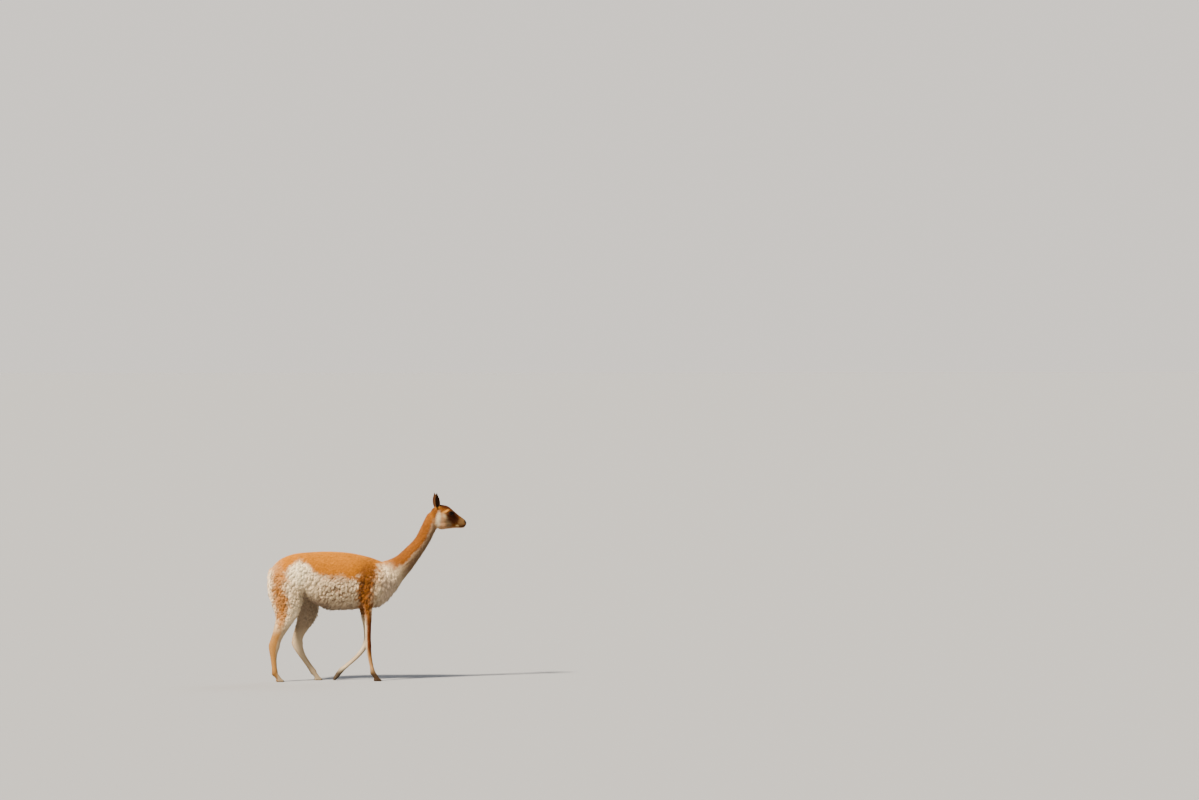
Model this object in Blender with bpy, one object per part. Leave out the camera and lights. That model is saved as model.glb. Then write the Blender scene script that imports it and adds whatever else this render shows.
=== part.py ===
"""A life-size vicuna in mid stride, parted into its head, neck, torso, tail, legs, feet, nails, ears and eyes.

The frame: metres, +X towards the nose, +Y to the animal's left, +Z up. The origin lies on the ground
under the middle of the animal's box, and all four feet stand on small flats at Z = 0.
"""

import math
import random

import bmesh
import bpy
import numpy as np
from mathutils import Matrix, Vector
from mathutils.bvhtree import BVHTree

# Driving dimensions, in metres, with the coat on
NODE_GAP = 0.0003
VOXEL = 0.005
BODY_TRIANGLES = 4900
HEAD_VOXEL = 0.0022
HEAD_TRIANGLES = 2500

# The torso in upright slices: x, back, belly, half width, and how much wider the upper half is
TORSO = (
    (-0.704, 0.780, 0.640, 0.040, 0.00),
    (-0.690, 0.822, 0.585, 0.080, 0.00),
    (-0.655, 0.866, 0.560, 0.106, 0.00),
    (-0.600, 0.901, 0.575, 0.122, 0.00),
    (-0.520, 0.927, 0.600, 0.129, 0.00),
    (-0.440, 0.936, 0.592, 0.131, -0.03),
    (-0.370, 0.940, 0.552, 0.134, -0.06),
    (-0.300, 0.942, 0.519, 0.138, -0.08),
    (-0.200, 0.939, 0.515, 0.141, -0.08),
    (-0.110, 0.930, 0.517, 0.138, -0.06),
    (-0.035, 0.915, 0.520, 0.131, -0.04),
    (0.035, 0.897, 0.523, 0.121, 0.00),
    (0.095, 0.874, 0.540, 0.108, 0.00),
    (0.145, 0.848, 0.580, 0.090, 0.00),
    (0.190, 0.815, 0.628, 0.066, 0.00),
    (0.220, 0.775, 0.682, 0.035, 0.00),
)

# The neck, from the chest up: x, z, half depth across the neck, half width
NECK = (
    (0.078, 0.722, 0.160, 0.102),
    (0.150, 0.761, 0.122, 0.085),
    (0.212, 0.804, 0.094, 0.069),
    (0.270, 0.853, 0.078, 0.058),
    (0.321, 0.911, 0.069, 0.052),
    (0.371, 0.971, 0.061, 0.047),
    (0.408, 1.025, 0.058, 0.045),
    (0.447, 1.102, 0.060, 0.046),
    (0.486, 1.175, 0.063, 0.046),
    (0.500, 1.215, 0.050, 0.044),
)
NECK_BASE = (0.190, 0.812)
NECK_BASE_NORMAL = (0.86, 0.50)
NAPE = (0.484, 1.165)
NAPE_NORMAL = (0.93, 0.37)

# The head from the nape to the nose: top x, top z, chin x, chin z, half width, upper widening
HEAD = (
    (0.468, 1.236, 0.492, 1.118, 0.040, 0.05),
    (0.492, 1.262, 0.505, 1.096, 0.048, 0.12),
    (0.520, 1.274, 0.527, 1.090, 0.051, 0.20),
    (0.563, 1.269, 0.556, 1.091, 0.051, 0.28),
    (0.597, 1.255, 0.582, 1.095, 0.045, 0.32),
    (0.632, 1.225, 0.614, 1.098, 0.036, 0.22),
    (0.664, 1.198, 0.642, 1.100, 0.0295, 0.10),
    (0.694, 1.176, 0.672, 1.100, 0.0255, 0.00),
    (0.713, 1.160, 0.696, 1.102, 0.0225, 0.00),
    (0.7205, 1.147, 0.711, 1.111, 0.0160, 0.00),
    (0.7235, 1.138, 0.7180, 1.120, 0.0090, 0.00),
)
HEAD_TURN = math.radians(5.5)
HEAD_STRETCH = 1.014
HEAD_HINGE = 0.470

# Rounded forms on each side of the head: centre x, y, z, then half sizes along x, y, z, and pitch
HEAD_FORMS = (
    (0.588, 0.0310, 1.2290, 0.0360, 0.0175, 0.0150, 20),
    (0.602, 0.0300, 1.1900, 0.0360, 0.0130, 0.0130, 25),
    (0.545, 0.0220, 1.1400, 0.0600, 0.0190, 0.0400, 0),
    (0.698, 0.0125, 1.1520, 0.0190, 0.0120, 0.0120, 32),
    (0.692, 0.0130, 1.1300, 0.0270, 0.0115, 0.0120, 5),
    (0.684, 0.0060, 1.1090, 0.0260, 0.0125, 0.0085, -3),
)
EYE = (0.5980, 0.0365, 1.2090)
EYE_RADIUS = 0.0190
EYE_LOOK = (0.30, 0.94, 0.08)
LID_THICKNESS = 0.0030
LID_OPENING = (0.0185, 0.0122)
LID_SLOPE = math.radians(-14)
NOSTRIL = (0.7120, 0.0125, 1.1500)
NOSTRIL_SIZE = (0.0055, 0.0090, 0.0030)
MOUTH = ((0.730, 1.1235), (0.712, 1.1225), (0.690, 1.1165), (0.672, 1.1135), (0.655, 1.1145))
MOUTH_GAP = 0.0012
MOUTH_DEPTH = 0.0050
LIP_CLEFT = (0.7215, 1.1310, 0.0100)

# Each ear from its root to its tip: place along it, half width, half depth
EAR_ROOT = (0.5110, 0.0330, 1.2440)
EAR_TIP = (0.4940, 0.0420, 1.3545)
EAR_FORM = (
    (-0.12, 0.0120, 0.0105),
    (0.08, 0.0165, 0.0125),
    (0.28, 0.0205, 0.0120),
    (0.50, 0.0205, 0.0095),
    (0.70, 0.0160, 0.0070),
    (0.86, 0.0095, 0.0045),
    (0.95, 0.0050, 0.0028),
    (1.00, 0.0020, 0.0016),
)
EAR_OPENING = (0.62, 0.78, 0.05)
EAR_WALL = 0.0024

# The tail from its root on the rump down to its tip: x, z, half depth, half width
TAIL = (
    (-0.648, 0.842, 0.016, 0.024),
    (-0.677, 0.812, 0.020, 0.032),
    (-0.692, 0.770, 0.021, 0.038),
    (-0.697, 0.720, 0.021, 0.040),
    (-0.697, 0.670, 0.019, 0.037),
    (-0.695, 0.625, 0.014, 0.028),
    (-0.692, 0.598, 0.006, 0.014),
)

# Joint centres of each leg: root, stifle or elbow, hock or knee, fetlock, tip of the toes
LEGS = {
    "hind_right": ((-0.600, -0.075, 0.800), (-0.590, -0.094, 0.511), (-0.676, -0.083, 0.260),
                   (-0.672, -0.080, 0.062), (-0.606, -0.082, 0.0)),
    "hind_left": ((-0.590, 0.075, 0.800), (-0.438, 0.094, 0.511), (-0.500, 0.083, 0.272),
                  (-0.385, 0.080, 0.062), (-0.320, 0.082, 0.0)),
    "fore_right": ((0.010, -0.078, 0.700), (0.004, -0.088, 0.560), (0.004, -0.080, 0.258),
                   (0.036, -0.077, 0.062), (0.098, -0.079, 0.0)),
    "fore_left": ((0.000, 0.078, 0.700), (-0.022, 0.088, 0.560), (-0.006, 0.080, 0.258),
                  (-0.184, 0.077, 0.070), (-0.240, 0.079, 0.0)),
}
UPPER_LEG = 1.22
LOWER_LEG = 2.22
ANKLE = 2.90

# Girth along a leg: place (1 stifle or elbow, 2 hock or knee, 3 fetlock), half depth, half width
HIND_GIRTHS = (
    (0.00, 0.100, 0.050),
    (0.35, 0.116, 0.056),
    (0.70, 0.114, 0.056),
    (1.00, 0.098, 0.050),
    (1.30, 0.064, 0.042),
    (1.60, 0.046, 0.034),
    (1.85, 0.041, 0.028),
    (2.00, 0.044, 0.027),
    (2.15, 0.037, 0.0245),
    (2.40, 0.026, 0.0205),
    (2.75, 0.0225, 0.0190),
    (3.00, 0.0240, 0.0215),
)
FORE_GIRTHS = (
    (0.00, 0.076, 0.044),
    (0.50, 0.070, 0.048),
    (0.90, 0.048, 0.042),
    (1.10, 0.035, 0.034),
    (1.40, 0.027, 0.027),
    (1.80, 0.0230, 0.0240),
    (2.00, 0.0240, 0.0265),
    (2.15, 0.0205, 0.0225),
    (2.45, 0.0175, 0.0180),
    (2.80, 0.0175, 0.0182),
    (3.00, 0.0205, 0.0215),
)

# Where each leg leaves the torso, seen from its side: middle x, half width, spring and top of the arch
ROOT_ARCHES = {
    "hind_right": (-0.596, 0.150, 0.640, 0.830),
    "hind_left": (-0.505, 0.185, 0.640, 0.830),
    "fore_right": (0.005, 0.082, 0.600, 0.730),
    "fore_left": (-0.014, 0.082, 0.600, 0.730),
}
BELOW_BELLY = 0.480
BETWEEN_LEGS = -0.280
ROOT_DEPTH = 0.082

# The fleece: rounded clumps of wool set close over the flank, belly, thighs, chest and tail
CLUMP_LENGTH = 0.092
CLUMP_WIDTH = 0.072
CLUMP_RISE = 0.018
CLUMP_ROOT = 0.011
CLUMP_SECTION = ((0.00, 0.75, 0.50, -1.00), (0.34, 1.00, 0.80, 0.05), (0.78, 0.92, 0.70, 0.30), (1.00, 0.00, 0.00, 0.38))
FLEECE_TRIANGLES = 7050
FLEECE_VOXEL = 0.0042
FLEECE_SEED = 11
FLEECE_AXIS = 0.720
FLANK_COLUMNS = (-0.665, 0.150, 0.070)
FLANK_ROWS = ((16, -0.70, 0.16), (-10, -0.70, 0.16), (-34, -0.70, 0.16), (-56, -0.40, 0.10), (-78, -0.40, 0.08))
BELLY_EASE = 0.35
THIGH_SEATS = ((-0.055, 0.560), (0.040, 0.545), (-0.040, 0.485), (0.030, 0.470), (-0.010, 0.415))
CHEST_SEATS = ((-0.026, 0.735), (0.030, 0.720), (-0.052, 0.680), (0.052, 0.672), (0.000, 0.660), (-0.038, 0.610),
               (0.038, 0.602))
TAIL_CLUMP = 0.55
TAIL_SEATS = ((-0.014, 0.815), (0.014, 0.790), (-0.014, 0.755), (0.014, 0.725), (-0.012, 0.690), (0.012, 0.655))

# A toe along the way from the fetlock to its tip: share of the way, height, out from the middle, half sizes
TOE = (
    (0.00, 1.00, 0.0060, 0.0190, 0.0145),
    (0.30, 0.56, 0.0095, 0.0180, 0.0140),
    (0.58, 0.22, 0.0125, 0.0160, 0.0130),
    (0.80, 0.12, 0.0130, 0.0125, 0.0120),
    (0.93, 0.09, 0.0130, 0.0080, 0.0085),
)
HEEL = (0.30, 0.0120, 0.0130, 0.0260, 0.0125)
NAIL = (0.74, 1.00, 0.0062, 0.0070)


def clear_scene():
    for thing in list(bpy.data.objects):
        bpy.data.objects.remove(thing)


def link_mesh(name, data):
    made = bpy.data.objects.new(name, data)
    bpy.context.scene.collection.objects.link(made)
    return made


def finish_mesh(name, mesh):
    """The bmesh as an object in the scene, with its faces pointing out."""
    bmesh.ops.remove_doubles(mesh, verts=mesh.verts, dist=1e-6)
    bmesh.ops.recalc_face_normals(mesh, faces=mesh.faces)
    data = bpy.data.meshes.new(name)
    mesh.to_mesh(data)
    mesh.free()
    return link_mesh(name, data)


def between(rows, place):
    """The row at a place along the rows, on a curve through them."""
    first = min(int(place), len(rows) - 2)
    t = place - first
    picked = [rows[min(max(first + step, 0), len(rows) - 1)] for step in (-1, 0, 1, 2)]
    a, b, c, d = (np.array(row, float) for row in picked)
    return 0.5 * (2 * b + (c - a) * t + (2 * a - 5 * b + 4 * c - d) * t**2 + (3 * b - a - 3 * c + d) * t**3)


def smoothed(rows, per_span):
    """The rows with more between them, on the curve through them."""
    count = (len(rows) - 1) * per_span
    return [between(rows, place / per_span) for place in range(count + 1)]


def ring(centre, up, half_depth, half_width, widening=0.0, side=(0, 1, 0)):
    """A closed oval across a limb, with its depth along up and its width along side."""
    centre, up, side = Vector(centre), Vector(up).normalized(), Vector(side).normalized()

    def point(angle):
        out = half_width * math.cos(angle) * (1 + widening * math.sin(angle))
        return centre + up * (half_depth * math.sin(angle)) + side * out

    return point


def loft(name, rings, sides):
    """A closed skin drawn over a row of rings, with a flat cap at each end."""
    mesh = bmesh.new()
    before = None
    for place in rings:
        made = bmesh.ops.create_circle(mesh, segments=sides, radius=1.0, cap_ends=False)["verts"]
        for vertex in made:
            vertex.co = place(math.atan2(vertex.co.y, vertex.co.x))
        edges = list({edge for vertex in made for edge in vertex.link_edges})
        if before:
            bmesh.ops.bridge_loops(mesh, edges=before + edges)
        before = edges
    open_edges = [edge for edge in mesh.edges if edge.is_boundary]
    bmesh.ops.holes_fill(mesh, edges=open_edges, sides=sides)
    return finish_mesh(name, mesh)


def path_rings(rows, grow=0.0):
    """Rings square to a path: each row has x, y, z, half depth and half width."""
    rings = []
    for index, (x, y, z, half_depth, half_width) in enumerate(rows):
        ahead, behind = rows[min(index + 1, len(rows) - 1)], rows[max(index - 1, 0)]
        along = Vector((ahead[0] - behind[0], 0, ahead[2] - behind[2])).normalized()
        up = along.cross(Vector((0, 1, 0)))
        push = grow if index == len(rows) - 1 else -grow if index == 0 else 0.0
        rings.append(ring(Vector((x, y, z)) + along * push, up, half_depth + grow, half_width + grow))
    return rings


def ball(name, centre, half_sizes, turn=None, detail=(16, 10)):
    """A closed ball or rounded form, stretched along its own axes and then turned."""
    mesh = bmesh.new()
    bmesh.ops.create_uvsphere(mesh, u_segments=detail[0], v_segments=detail[1], radius=1.0)
    bmesh.ops.scale(mesh, vec=half_sizes, verts=mesh.verts)
    place = Matrix.Translation(centre) @ (turn.to_4x4() if turn else Matrix())
    bmesh.ops.transform(mesh, matrix=place, verts=mesh.verts)
    return finish_mesh(name, mesh)


def sheared_plate(name, outline, inner, outer, side):
    """A plate with an outline in the side view, between two surfaces given as y for a height z."""
    mesh = bmesh.new()
    near = [mesh.verts.new((x, side * inner(z), z)) for x, z in outline]
    away = [mesh.verts.new((x, side * outer, z)) for x, z in outline]
    mesh.faces.new(near)
    mesh.faces.new(away[::-1])
    for index in range(len(outline)):
        follow = (index + 1) % len(outline)
        mesh.faces.new((near[index], away[index], away[follow], near[follow]))
    bmesh.ops.triangulate(mesh, faces=mesh.faces)
    return finish_mesh(name, mesh)


def apply_modifiers(thing):
    graph = bpy.context.evaluated_depsgraph_get()
    data = bpy.data.meshes.new_from_object(thing.evaluated_get(graph))
    thing.modifiers.clear()
    thing.data = data
    return thing


def joined(name, things):
    """Several closed meshes in one object, not yet fused."""
    mesh = bmesh.new()
    for thing in things:
        mesh.from_mesh(thing.data)
        bpy.data.objects.remove(thing)
    return finish_mesh(name, mesh)


def fused(name, things, voxel, rounds, triangles):
    """One smooth closed surface over several overlapping forms."""
    body = joined(name, things)
    remesh = body.modifiers.new("fuse", "REMESH")
    remesh.mode = "VOXEL"
    remesh.voxel_size = voxel
    smooth = body.modifiers.new("smooth", "SMOOTH")
    smooth.factor = 0.6
    smooth.iterations = rounds
    apply_modifiers(body)
    thin = body.modifiers.new("thin", "DECIMATE")
    thin.ratio = triangles / (2 * len(body.data.polygons))
    return apply_modifiers(body)


def largest_surface(thing):
    """Keeps the largest closed surface of a mesh, as one clean body of triangles."""
    mesh = bmesh.new()
    mesh.from_mesh(thing.data)
    bmesh.ops.remove_doubles(mesh, verts=mesh.verts, dist=2e-5)
    unseen = set(mesh.verts)
    islands = []
    while unseen:
        front = [unseen.pop()]
        island = set(front)
        while front:
            vertex = front.pop()
            for edge in vertex.link_edges:
                other = edge.other_vert(vertex)
                if other in unseen:
                    unseen.discard(other)
                    island.add(other)
                    front.append(other)
        islands.append(island)
    keep = max(islands, key=len)
    bmesh.ops.delete(mesh, geom=[vertex for vertex in mesh.verts if vertex not in keep], context="VERTS")
    bmesh.ops.triangulate(mesh, faces=mesh.faces)
    bmesh.ops.recalc_face_normals(mesh, faces=mesh.faces)
    mesh.to_mesh(thing.data)
    mesh.free()
    return thing


def copied(thing, name):
    return link_mesh(name, thing.data.copy())


def cut(thing, tools, operation="DIFFERENCE"):
    """Cuts a mesh with others, which are used up."""
    for tool in tools:
        step = thing.modifiers.new("cut", "BOOLEAN")
        step.object = tool
        step.operation = operation
        step.solver = "MANIFOLD"
        apply_modifiers(thing)
        bpy.data.objects.remove(tool)
    return thing


def half(thing, point, normal):
    """Keeps what lies ahead of a plane and closes the cut with one flat face."""
    mesh = bmesh.new()
    mesh.from_mesh(thing.data)
    everything = mesh.verts[:] + mesh.edges[:] + mesh.faces[:]
    made = bmesh.ops.bisect_plane(mesh, geom=everything, dist=1e-6, plane_co=point, plane_no=normal,
                                  clear_inner=True)["geom_cut"]
    rim = [part for part in made if isinstance(part, bmesh.types.BMEdge)]
    bmesh.ops.triangle_fill(mesh, edges=rim, use_beauty=True, use_dissolve=False)
    bmesh.ops.recalc_face_normals(mesh, faces=mesh.faces)
    mesh.to_mesh(thing.data)
    mesh.free()
    return thing


def parted(thing, name, point, normal):
    """Cuts a mesh in two at a plane with the thin gap, and gives back the part ahead of it."""
    point, normal = Vector(point), Vector(normal).normalized()
    ahead = copied(thing, name)
    half(ahead, point + normal * NODE_GAP / 2, normal)
    half(thing, point - normal * NODE_GAP / 2, -normal)
    return largest_surface(ahead)


# The body: torso, neck and legs are lofted over their slices and run into one skin

def torso_loft():
    rings = []
    for x, back, belly, half_width, widening in smoothed(TORSO, 2):
        middle = (x, 0, (back + belly) / 2)
        rings.append(ring(middle, (0, 0, 1), (back - belly) / 2, half_width, widening))
    return loft("torso_form", rings, 32)


def neck_loft():
    rows = [(x, 0, z, depth, width) for x, z, depth, width in smoothed(NECK, 2)]
    return loft("neck_form", path_rings(rows), 24)


def leg_place(name, place):
    return between(LEGS[name][:4], place)


def leg_loft(name):
    girths = HIND_GIRTHS if name.startswith("hind") else FORE_GIRTHS
    rows = [(*leg_place(name, place), depth, width) for place, depth, width in smoothed(girths, 2)]
    return loft(name + "_form", path_rings(rows), 20)


def toe_rows(name, side):
    """One toe: standing toes bend forward on to the ground, and a trailing one hangs straight."""
    fetlock, tip = np.array(LEGS[name][3]), np.array(LEGS[name][4])
    trails = tip[0] < fetlock[0]
    rows = []
    for share, height, out, half_depth, half_width in TOE:
        x, y, _ = fetlock + (tip - fetlock) * share
        z = fetlock[2] * (1 - 1.02 * share if trails else height)
        rows.append((x, y + side * out, z, half_depth, half_width))
    return rows


def foot_forms(name):
    forms = []
    fetlock, tip = Vector(LEGS[name][3]), Vector(LEGS[name][4])
    for side in (-1, 1):
        forms.append(loft(name + "_toe", path_rings(smoothed(toe_rows(name, side), 2)), 12))
        if tip.x > fetlock.x:
            share, out, half_height, half_length, half_width = HEEL
            middle = (fetlock.x + (tip.x - fetlock.x) * share, tip.y + side * out, half_height - 0.003)
            forms.append(ball(name + "_heel", middle, (half_length, half_width, half_height)))
    return forms


def nail(name, side, grow=0.0):
    """A slightly hooked nail at the tip of one toe."""
    fetlock, tip = Vector(LEGS[name][3]), Vector(LEGS[name][4])
    start, end, half_width, half_depth = NAIL
    trails = tip.x < fetlock.x
    drop = fetlock.z * 0.98 if trails else 0.0
    rows = []
    for step in range(4):
        share = start + (end - start) * step / 3
        taper = math.sqrt(max(1 - (step / 3.2) ** 2, 0))
        x = fetlock.x + (tip.x - fetlock.x) * share
        z = fetlock.z - drop * share if trails else 0.0095 - 0.004 * (step / 3) ** 2
        rows.append((x, tip.y + side * 0.0130, z, half_depth * taper, half_width * taper))
    return loft(name + "_nail", path_rings(rows, grow), 8)


# The head: the lofted form with brows, cheeks, nose and lips run into it, then sockets, nostrils and mouth

def head_placed(thing):
    """Turns a form of the head a little to the left about the nape."""
    hinge = Matrix.Translation((HEAD_HINGE, 0, 0))
    turn = hinge @ Matrix.Rotation(HEAD_TURN, 4, "Z") @ Matrix.Diagonal((HEAD_STRETCH, 1, 1, 1)) @ hinge.inverted()
    thing.data.transform(turn)
    return thing


def head_point(point, side=1):
    """The place in the turned head of a point given for the left side of the straight head."""
    x, y, z = point
    place = Matrix.Rotation(HEAD_TURN, 3, "Z") @ Vector(((x - HEAD_HINGE) * HEAD_STRETCH, side * y, 0))
    return Vector((HEAD_HINGE + place.x, place.y, z))


def head_rings(squeeze=1.0):
    rings = []
    for top_x, top_z, chin_x, chin_z, half_width, widening in smoothed(HEAD, 3):
        top, chin = Vector((top_x, 0, top_z)), Vector((chin_x, 0, chin_z))
        half_depth = (top - chin).length / 2
        rings.append(ring((top + chin) / 2, top - chin, half_depth * squeeze, half_width * squeeze, widening))
    return rings


def head_forms():
    forms = [loft("head_form", head_rings(), 32)]
    for x, y, z, long, wide, high, pitch in HEAD_FORMS:
        for side in (-1, 1):
            turn = Matrix.Rotation(math.radians(pitch), 3, "Y")
            forms.append(ball("form", (x, side * y, z), (long, wide, high), turn))
    lid = EYE_RADIUS + LID_THICKNESS
    for side in (-1, 1):
        forms.append(ball("lid", (EYE[0], side * EYE[1], EYE[2]), (lid, lid, lid), detail=(24, 16)))
    return [head_placed(form) for form in forms]


def eye_aim(side):
    """The axes of an eye: forward along the lids, out of the socket, and up."""
    out = Vector((EYE_LOOK[0], side * EYE_LOOK[1], EYE_LOOK[2])).normalized()
    out = Matrix.Rotation(HEAD_TURN, 3, "Z") @ out
    fore = Vector((0, 0, 1)).cross(out).normalized() * -side
    up = out.cross(fore) * side
    turn = Matrix.Rotation(LID_SLOPE * -side, 3, out)
    return turn @ fore, out, turn @ up


def lid_cutter(side):
    """An almond prism that opens the lids in front of the eye."""
    fore, out, up = eye_aim(side)
    middle = head_point(EYE, side)
    mesh = bmesh.new()
    long, high = LID_OPENING
    rims = []
    for depth, scale in ((0.006, 0.55), (0.030, 1.60)):
        made = bmesh.ops.create_circle(mesh, segments=20, radius=1.0, cap_ends=False)["verts"]
        for vertex in made:
            angle = math.atan2(vertex.co.y, vertex.co.x)
            lift = high * math.sin(angle) * (1 - 0.30 * math.cos(angle) ** 2)
            reach = EYE_RADIUS + 0.002
            spread = scale if depth > 0.01 else depth / reach
            vertex.co = middle + out * depth + (fore * long * math.cos(angle) + up * lift) * spread
        rims += list({edge for vertex in made for edge in vertex.link_edges})
    bmesh.ops.bridge_loops(mesh, edges=rims)
    bmesh.ops.holes_fill(mesh, edges=[edge for edge in mesh.edges if edge.is_boundary], sides=20)
    return finish_mesh("lid_cutter", mesh)


def mouth_cutter():
    """A thin curved plate in the mouth's line, kept near the skin by the muzzle's core."""
    line = smoothed(MOUTH, 4)
    mesh = bmesh.new()
    rows = []
    for x, z in line:
        rows.append([mesh.verts.new((x, y, z + rise)) for y, rise in
                     ((-0.05, -MOUTH_GAP / 2), (0.05, -MOUTH_GAP / 2), (0.05, MOUTH_GAP / 2), (-0.05, MOUTH_GAP / 2))])
    for front, rear in zip(rows, rows[1:]):
        for index in range(4):
            follow = (index + 1) % 4
            mesh.faces.new((front[index], front[follow], rear[follow], rear[index]))
    mesh.faces.new(rows[0][::-1])
    mesh.faces.new(rows[-1])
    plate = finish_mesh("mouth_cutter", mesh)
    core = loft("muzzle_core", head_rings(1 - 2 * MOUTH_DEPTH / 0.050), 24)
    core.data.transform(Matrix.Translation((-MOUTH_DEPTH * 0.8, 0, 0)))
    return head_placed(cut(plate, [core]))


def nostril_cutter(side):
    turn = Matrix.Rotation(math.radians(-38), 3, "Y") @ Matrix.Rotation(math.radians(side * -30), 3, "Z")
    centre = (NOSTRIL[0], side * (NOSTRIL[1] + 0.0035), NOSTRIL[2])
    return head_placed(ball("nostril", centre, NOSTRIL_SIZE, turn))


def cleft_cutter():
    x, z, height = LIP_CLEFT
    return head_placed(ball("cleft", (x + 0.0030, 0, z), (0.0050, 0.0016, height)))


def ear(name, side, grow=0.0, hollow=True):
    """One ear: a leaf that stands on the head, with its cup open outwards and forwards."""
    root, tip = head_point(EAR_ROOT, side), head_point(EAR_TIP, side)
    along = (tip - root).normalized()
    opening = Vector((EAR_OPENING[0], side * EAR_OPENING[1], EAR_OPENING[2]))
    opening = (opening - along * opening.dot(along)).normalized()
    across = along.cross(opening).normalized()
    shell, cup = [], []
    for share, half_width, half_depth in EAR_FORM:
        bend = opening * (0.010 * share * share - 0.004 * share)
        push = grow if share == 1.0 else -grow if share < 0 else 0.0
        middle = root + (tip - root) * share + bend + along * push
        shell.append(ring(middle, opening, half_depth + grow, half_width + grow, 0.0, across))
        if 0.0 < share < 0.97:
            inner = middle + opening * (half_depth * 0.85)
            ease = 0.55 if share < 0.1 else 1.0
            deep, wide = half_depth * 1.85 - EAR_WALL, half_width - EAR_WALL * 0.55
            cup.append(ring(inner, opening, deep * ease, wide * ease, 0.0, across))
    made = loft(name, shell, 16)
    if hollow:
        cut(made, [loft("cup", cup, 14)])
    return made


# The tail hangs close against the rump

def tail_loft(name, grow=0.0):
    rows = [(x, 0, z, depth, width) for x, z, depth, width in smoothed(TAIL, 2)]
    return loft(name, path_rings(rows, grow), 16)


# The fleece: each clump is rooted in the skin, lies along it and ends in a rounded tip

def seats_from(skin, rays):
    """Where rays from outside meet the skin: a list of points and outward normals."""
    found = []
    for origin, aim in rays:
        point, normal, _, _ = skin.ray_cast(Vector(origin), Vector(aim).normalized())
        if point is not None:
            found.append((point, normal))
    return found


def flank_rays(draw):
    rays = []
    start, end, step = FLANK_COLUMNS
    for row, (angle, rear, front) in enumerate(FLANK_ROWS):
        for side in (-1, 1):
            x = start + (0.5 if row % 2 else 0.0) * step
            while x < end:
                place = x + draw.uniform(-0.10, 0.10) * step
                slope = math.radians(angle + draw.uniform(-3, 3))
                if rear < x < front:
                    out = Vector((0, side * math.cos(slope), math.sin(slope)))
                    rays.append((Vector((place, 0, FLEECE_AXIS)) + out * 0.5, -out))
                x += step
    return rays


def thigh_rays():
    rays = []
    for name in ("hind_right", "hind_left"):
        side = -1 if name.endswith("right") else 1
        for shift, height in THIGH_SEATS:
            joints = LEGS[name]
            share = (joints[1][2] - height) / (joints[1][2] - joints[2][2])
            middle = joints[1][0] + (joints[2][0] - joints[1][0]) * max(share, 0) * 0.7
            rays.append(((middle + shift, side * 0.5, height), (0, -side, 0)))
    return rays


def chest_rays():
    return [((0.6, y, z - 0.1), (-1, 0, 0.28)) for y, z in CHEST_SEATS]


def clump(seat, draw, size=1.0, grow=0.0):
    """One clump of wool: a flattened, bent oval that tapers to its tip."""
    point, normal = seat
    lie = Vector((-0.32 + draw.uniform(-0.16, 0.16), draw.uniform(-0.08, 0.08), -1.0))
    lie = lie - normal * lie.dot(normal)
    lie = (lie.normalized() + Vector((-0.25, 0, -0.10)) * (1 - min(lie.length, 1))).normalized()
    across = normal.cross(lie).normalized()
    over = lie.cross(across).normalized()
    length = CLUMP_LENGTH * size * draw.uniform(0.86, 1.14)
    width = CLUMP_WIDTH * size * draw.uniform(0.86, 1.10)
    rise = CLUMP_RISE * min(size * 1.1, 1.0) * draw.uniform(0.85, 1.15)
    sway = draw.uniform(-0.14, 0.14) * width
    hang = max(-normal.z, 0.0)
    length *= 1 - BELLY_EASE * 0.6 * hang
    rise *= 1 - BELLY_EASE * hang
    mesh = bmesh.new()
    before = None
    for share, wide, high, lift in CLUMP_SECTION:
        height = rise * lift if lift > 0 else CLUMP_ROOT * lift
        middle = point + lie * length * (share - 0.30) + over * height + across * sway * share * share * 2
        if wide == 0:
            tip = mesh.verts.new(middle - over * rise * 0.12 + lie * grow * 2)
            for edge in before:
                mesh.faces.new((*edge.verts, tip))
            continue
        made = bmesh.ops.create_circle(mesh, segments=5, radius=1.0, cap_ends=before is None)["verts"]
        for vertex in made:
            angle = math.atan2(vertex.co.y, vertex.co.x)
            out, up = math.sin(angle), math.cos(angle)
            thick = rise * high * (1.0 if up > 0 else 0.75) + grow * 1.5
            vertex.co = middle + across * (width / 2 * wide + grow * 1.5) * out + over * thick * up
        edges = list({edge for vertex in made for edge in vertex.link_edges})
        if before:
            bmesh.ops.bridge_loops(mesh, edges=before + edges)
        before = edges
    return finish_mesh("clump", mesh)


def with_clumps(thing, seats, size=1.0, grow=0.0):
    """Fuses a clump at every seat into the thing with one union."""
    draw = random.Random(FLEECE_SEED)
    group = bpy.data.collections.new("clumps")
    bpy.context.scene.collection.children.link(group)
    for seat in seats:
        made = clump(seat, draw, size, grow)
        bpy.context.scene.collection.objects.unlink(made)
        group.objects.link(made)
    step = thing.modifiers.new("fleece", "BOOLEAN")
    step.operation = "UNION"
    step.operand_type = "COLLECTION"
    step.collection = group
    step.solver = "MANIFOLD"
    apply_modifiers(thing)
    for made in list(group.objects):
        bpy.data.objects.remove(made)
    bpy.data.collections.remove(group)
    return largest_surface(thing)


def skin_of(thing):
    mesh = bmesh.new()
    mesh.from_mesh(thing.data)
    skin = BVHTree.FromBMesh(mesh)
    mesh.free()
    return skin


# Parting the fused body into its nodes

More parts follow.
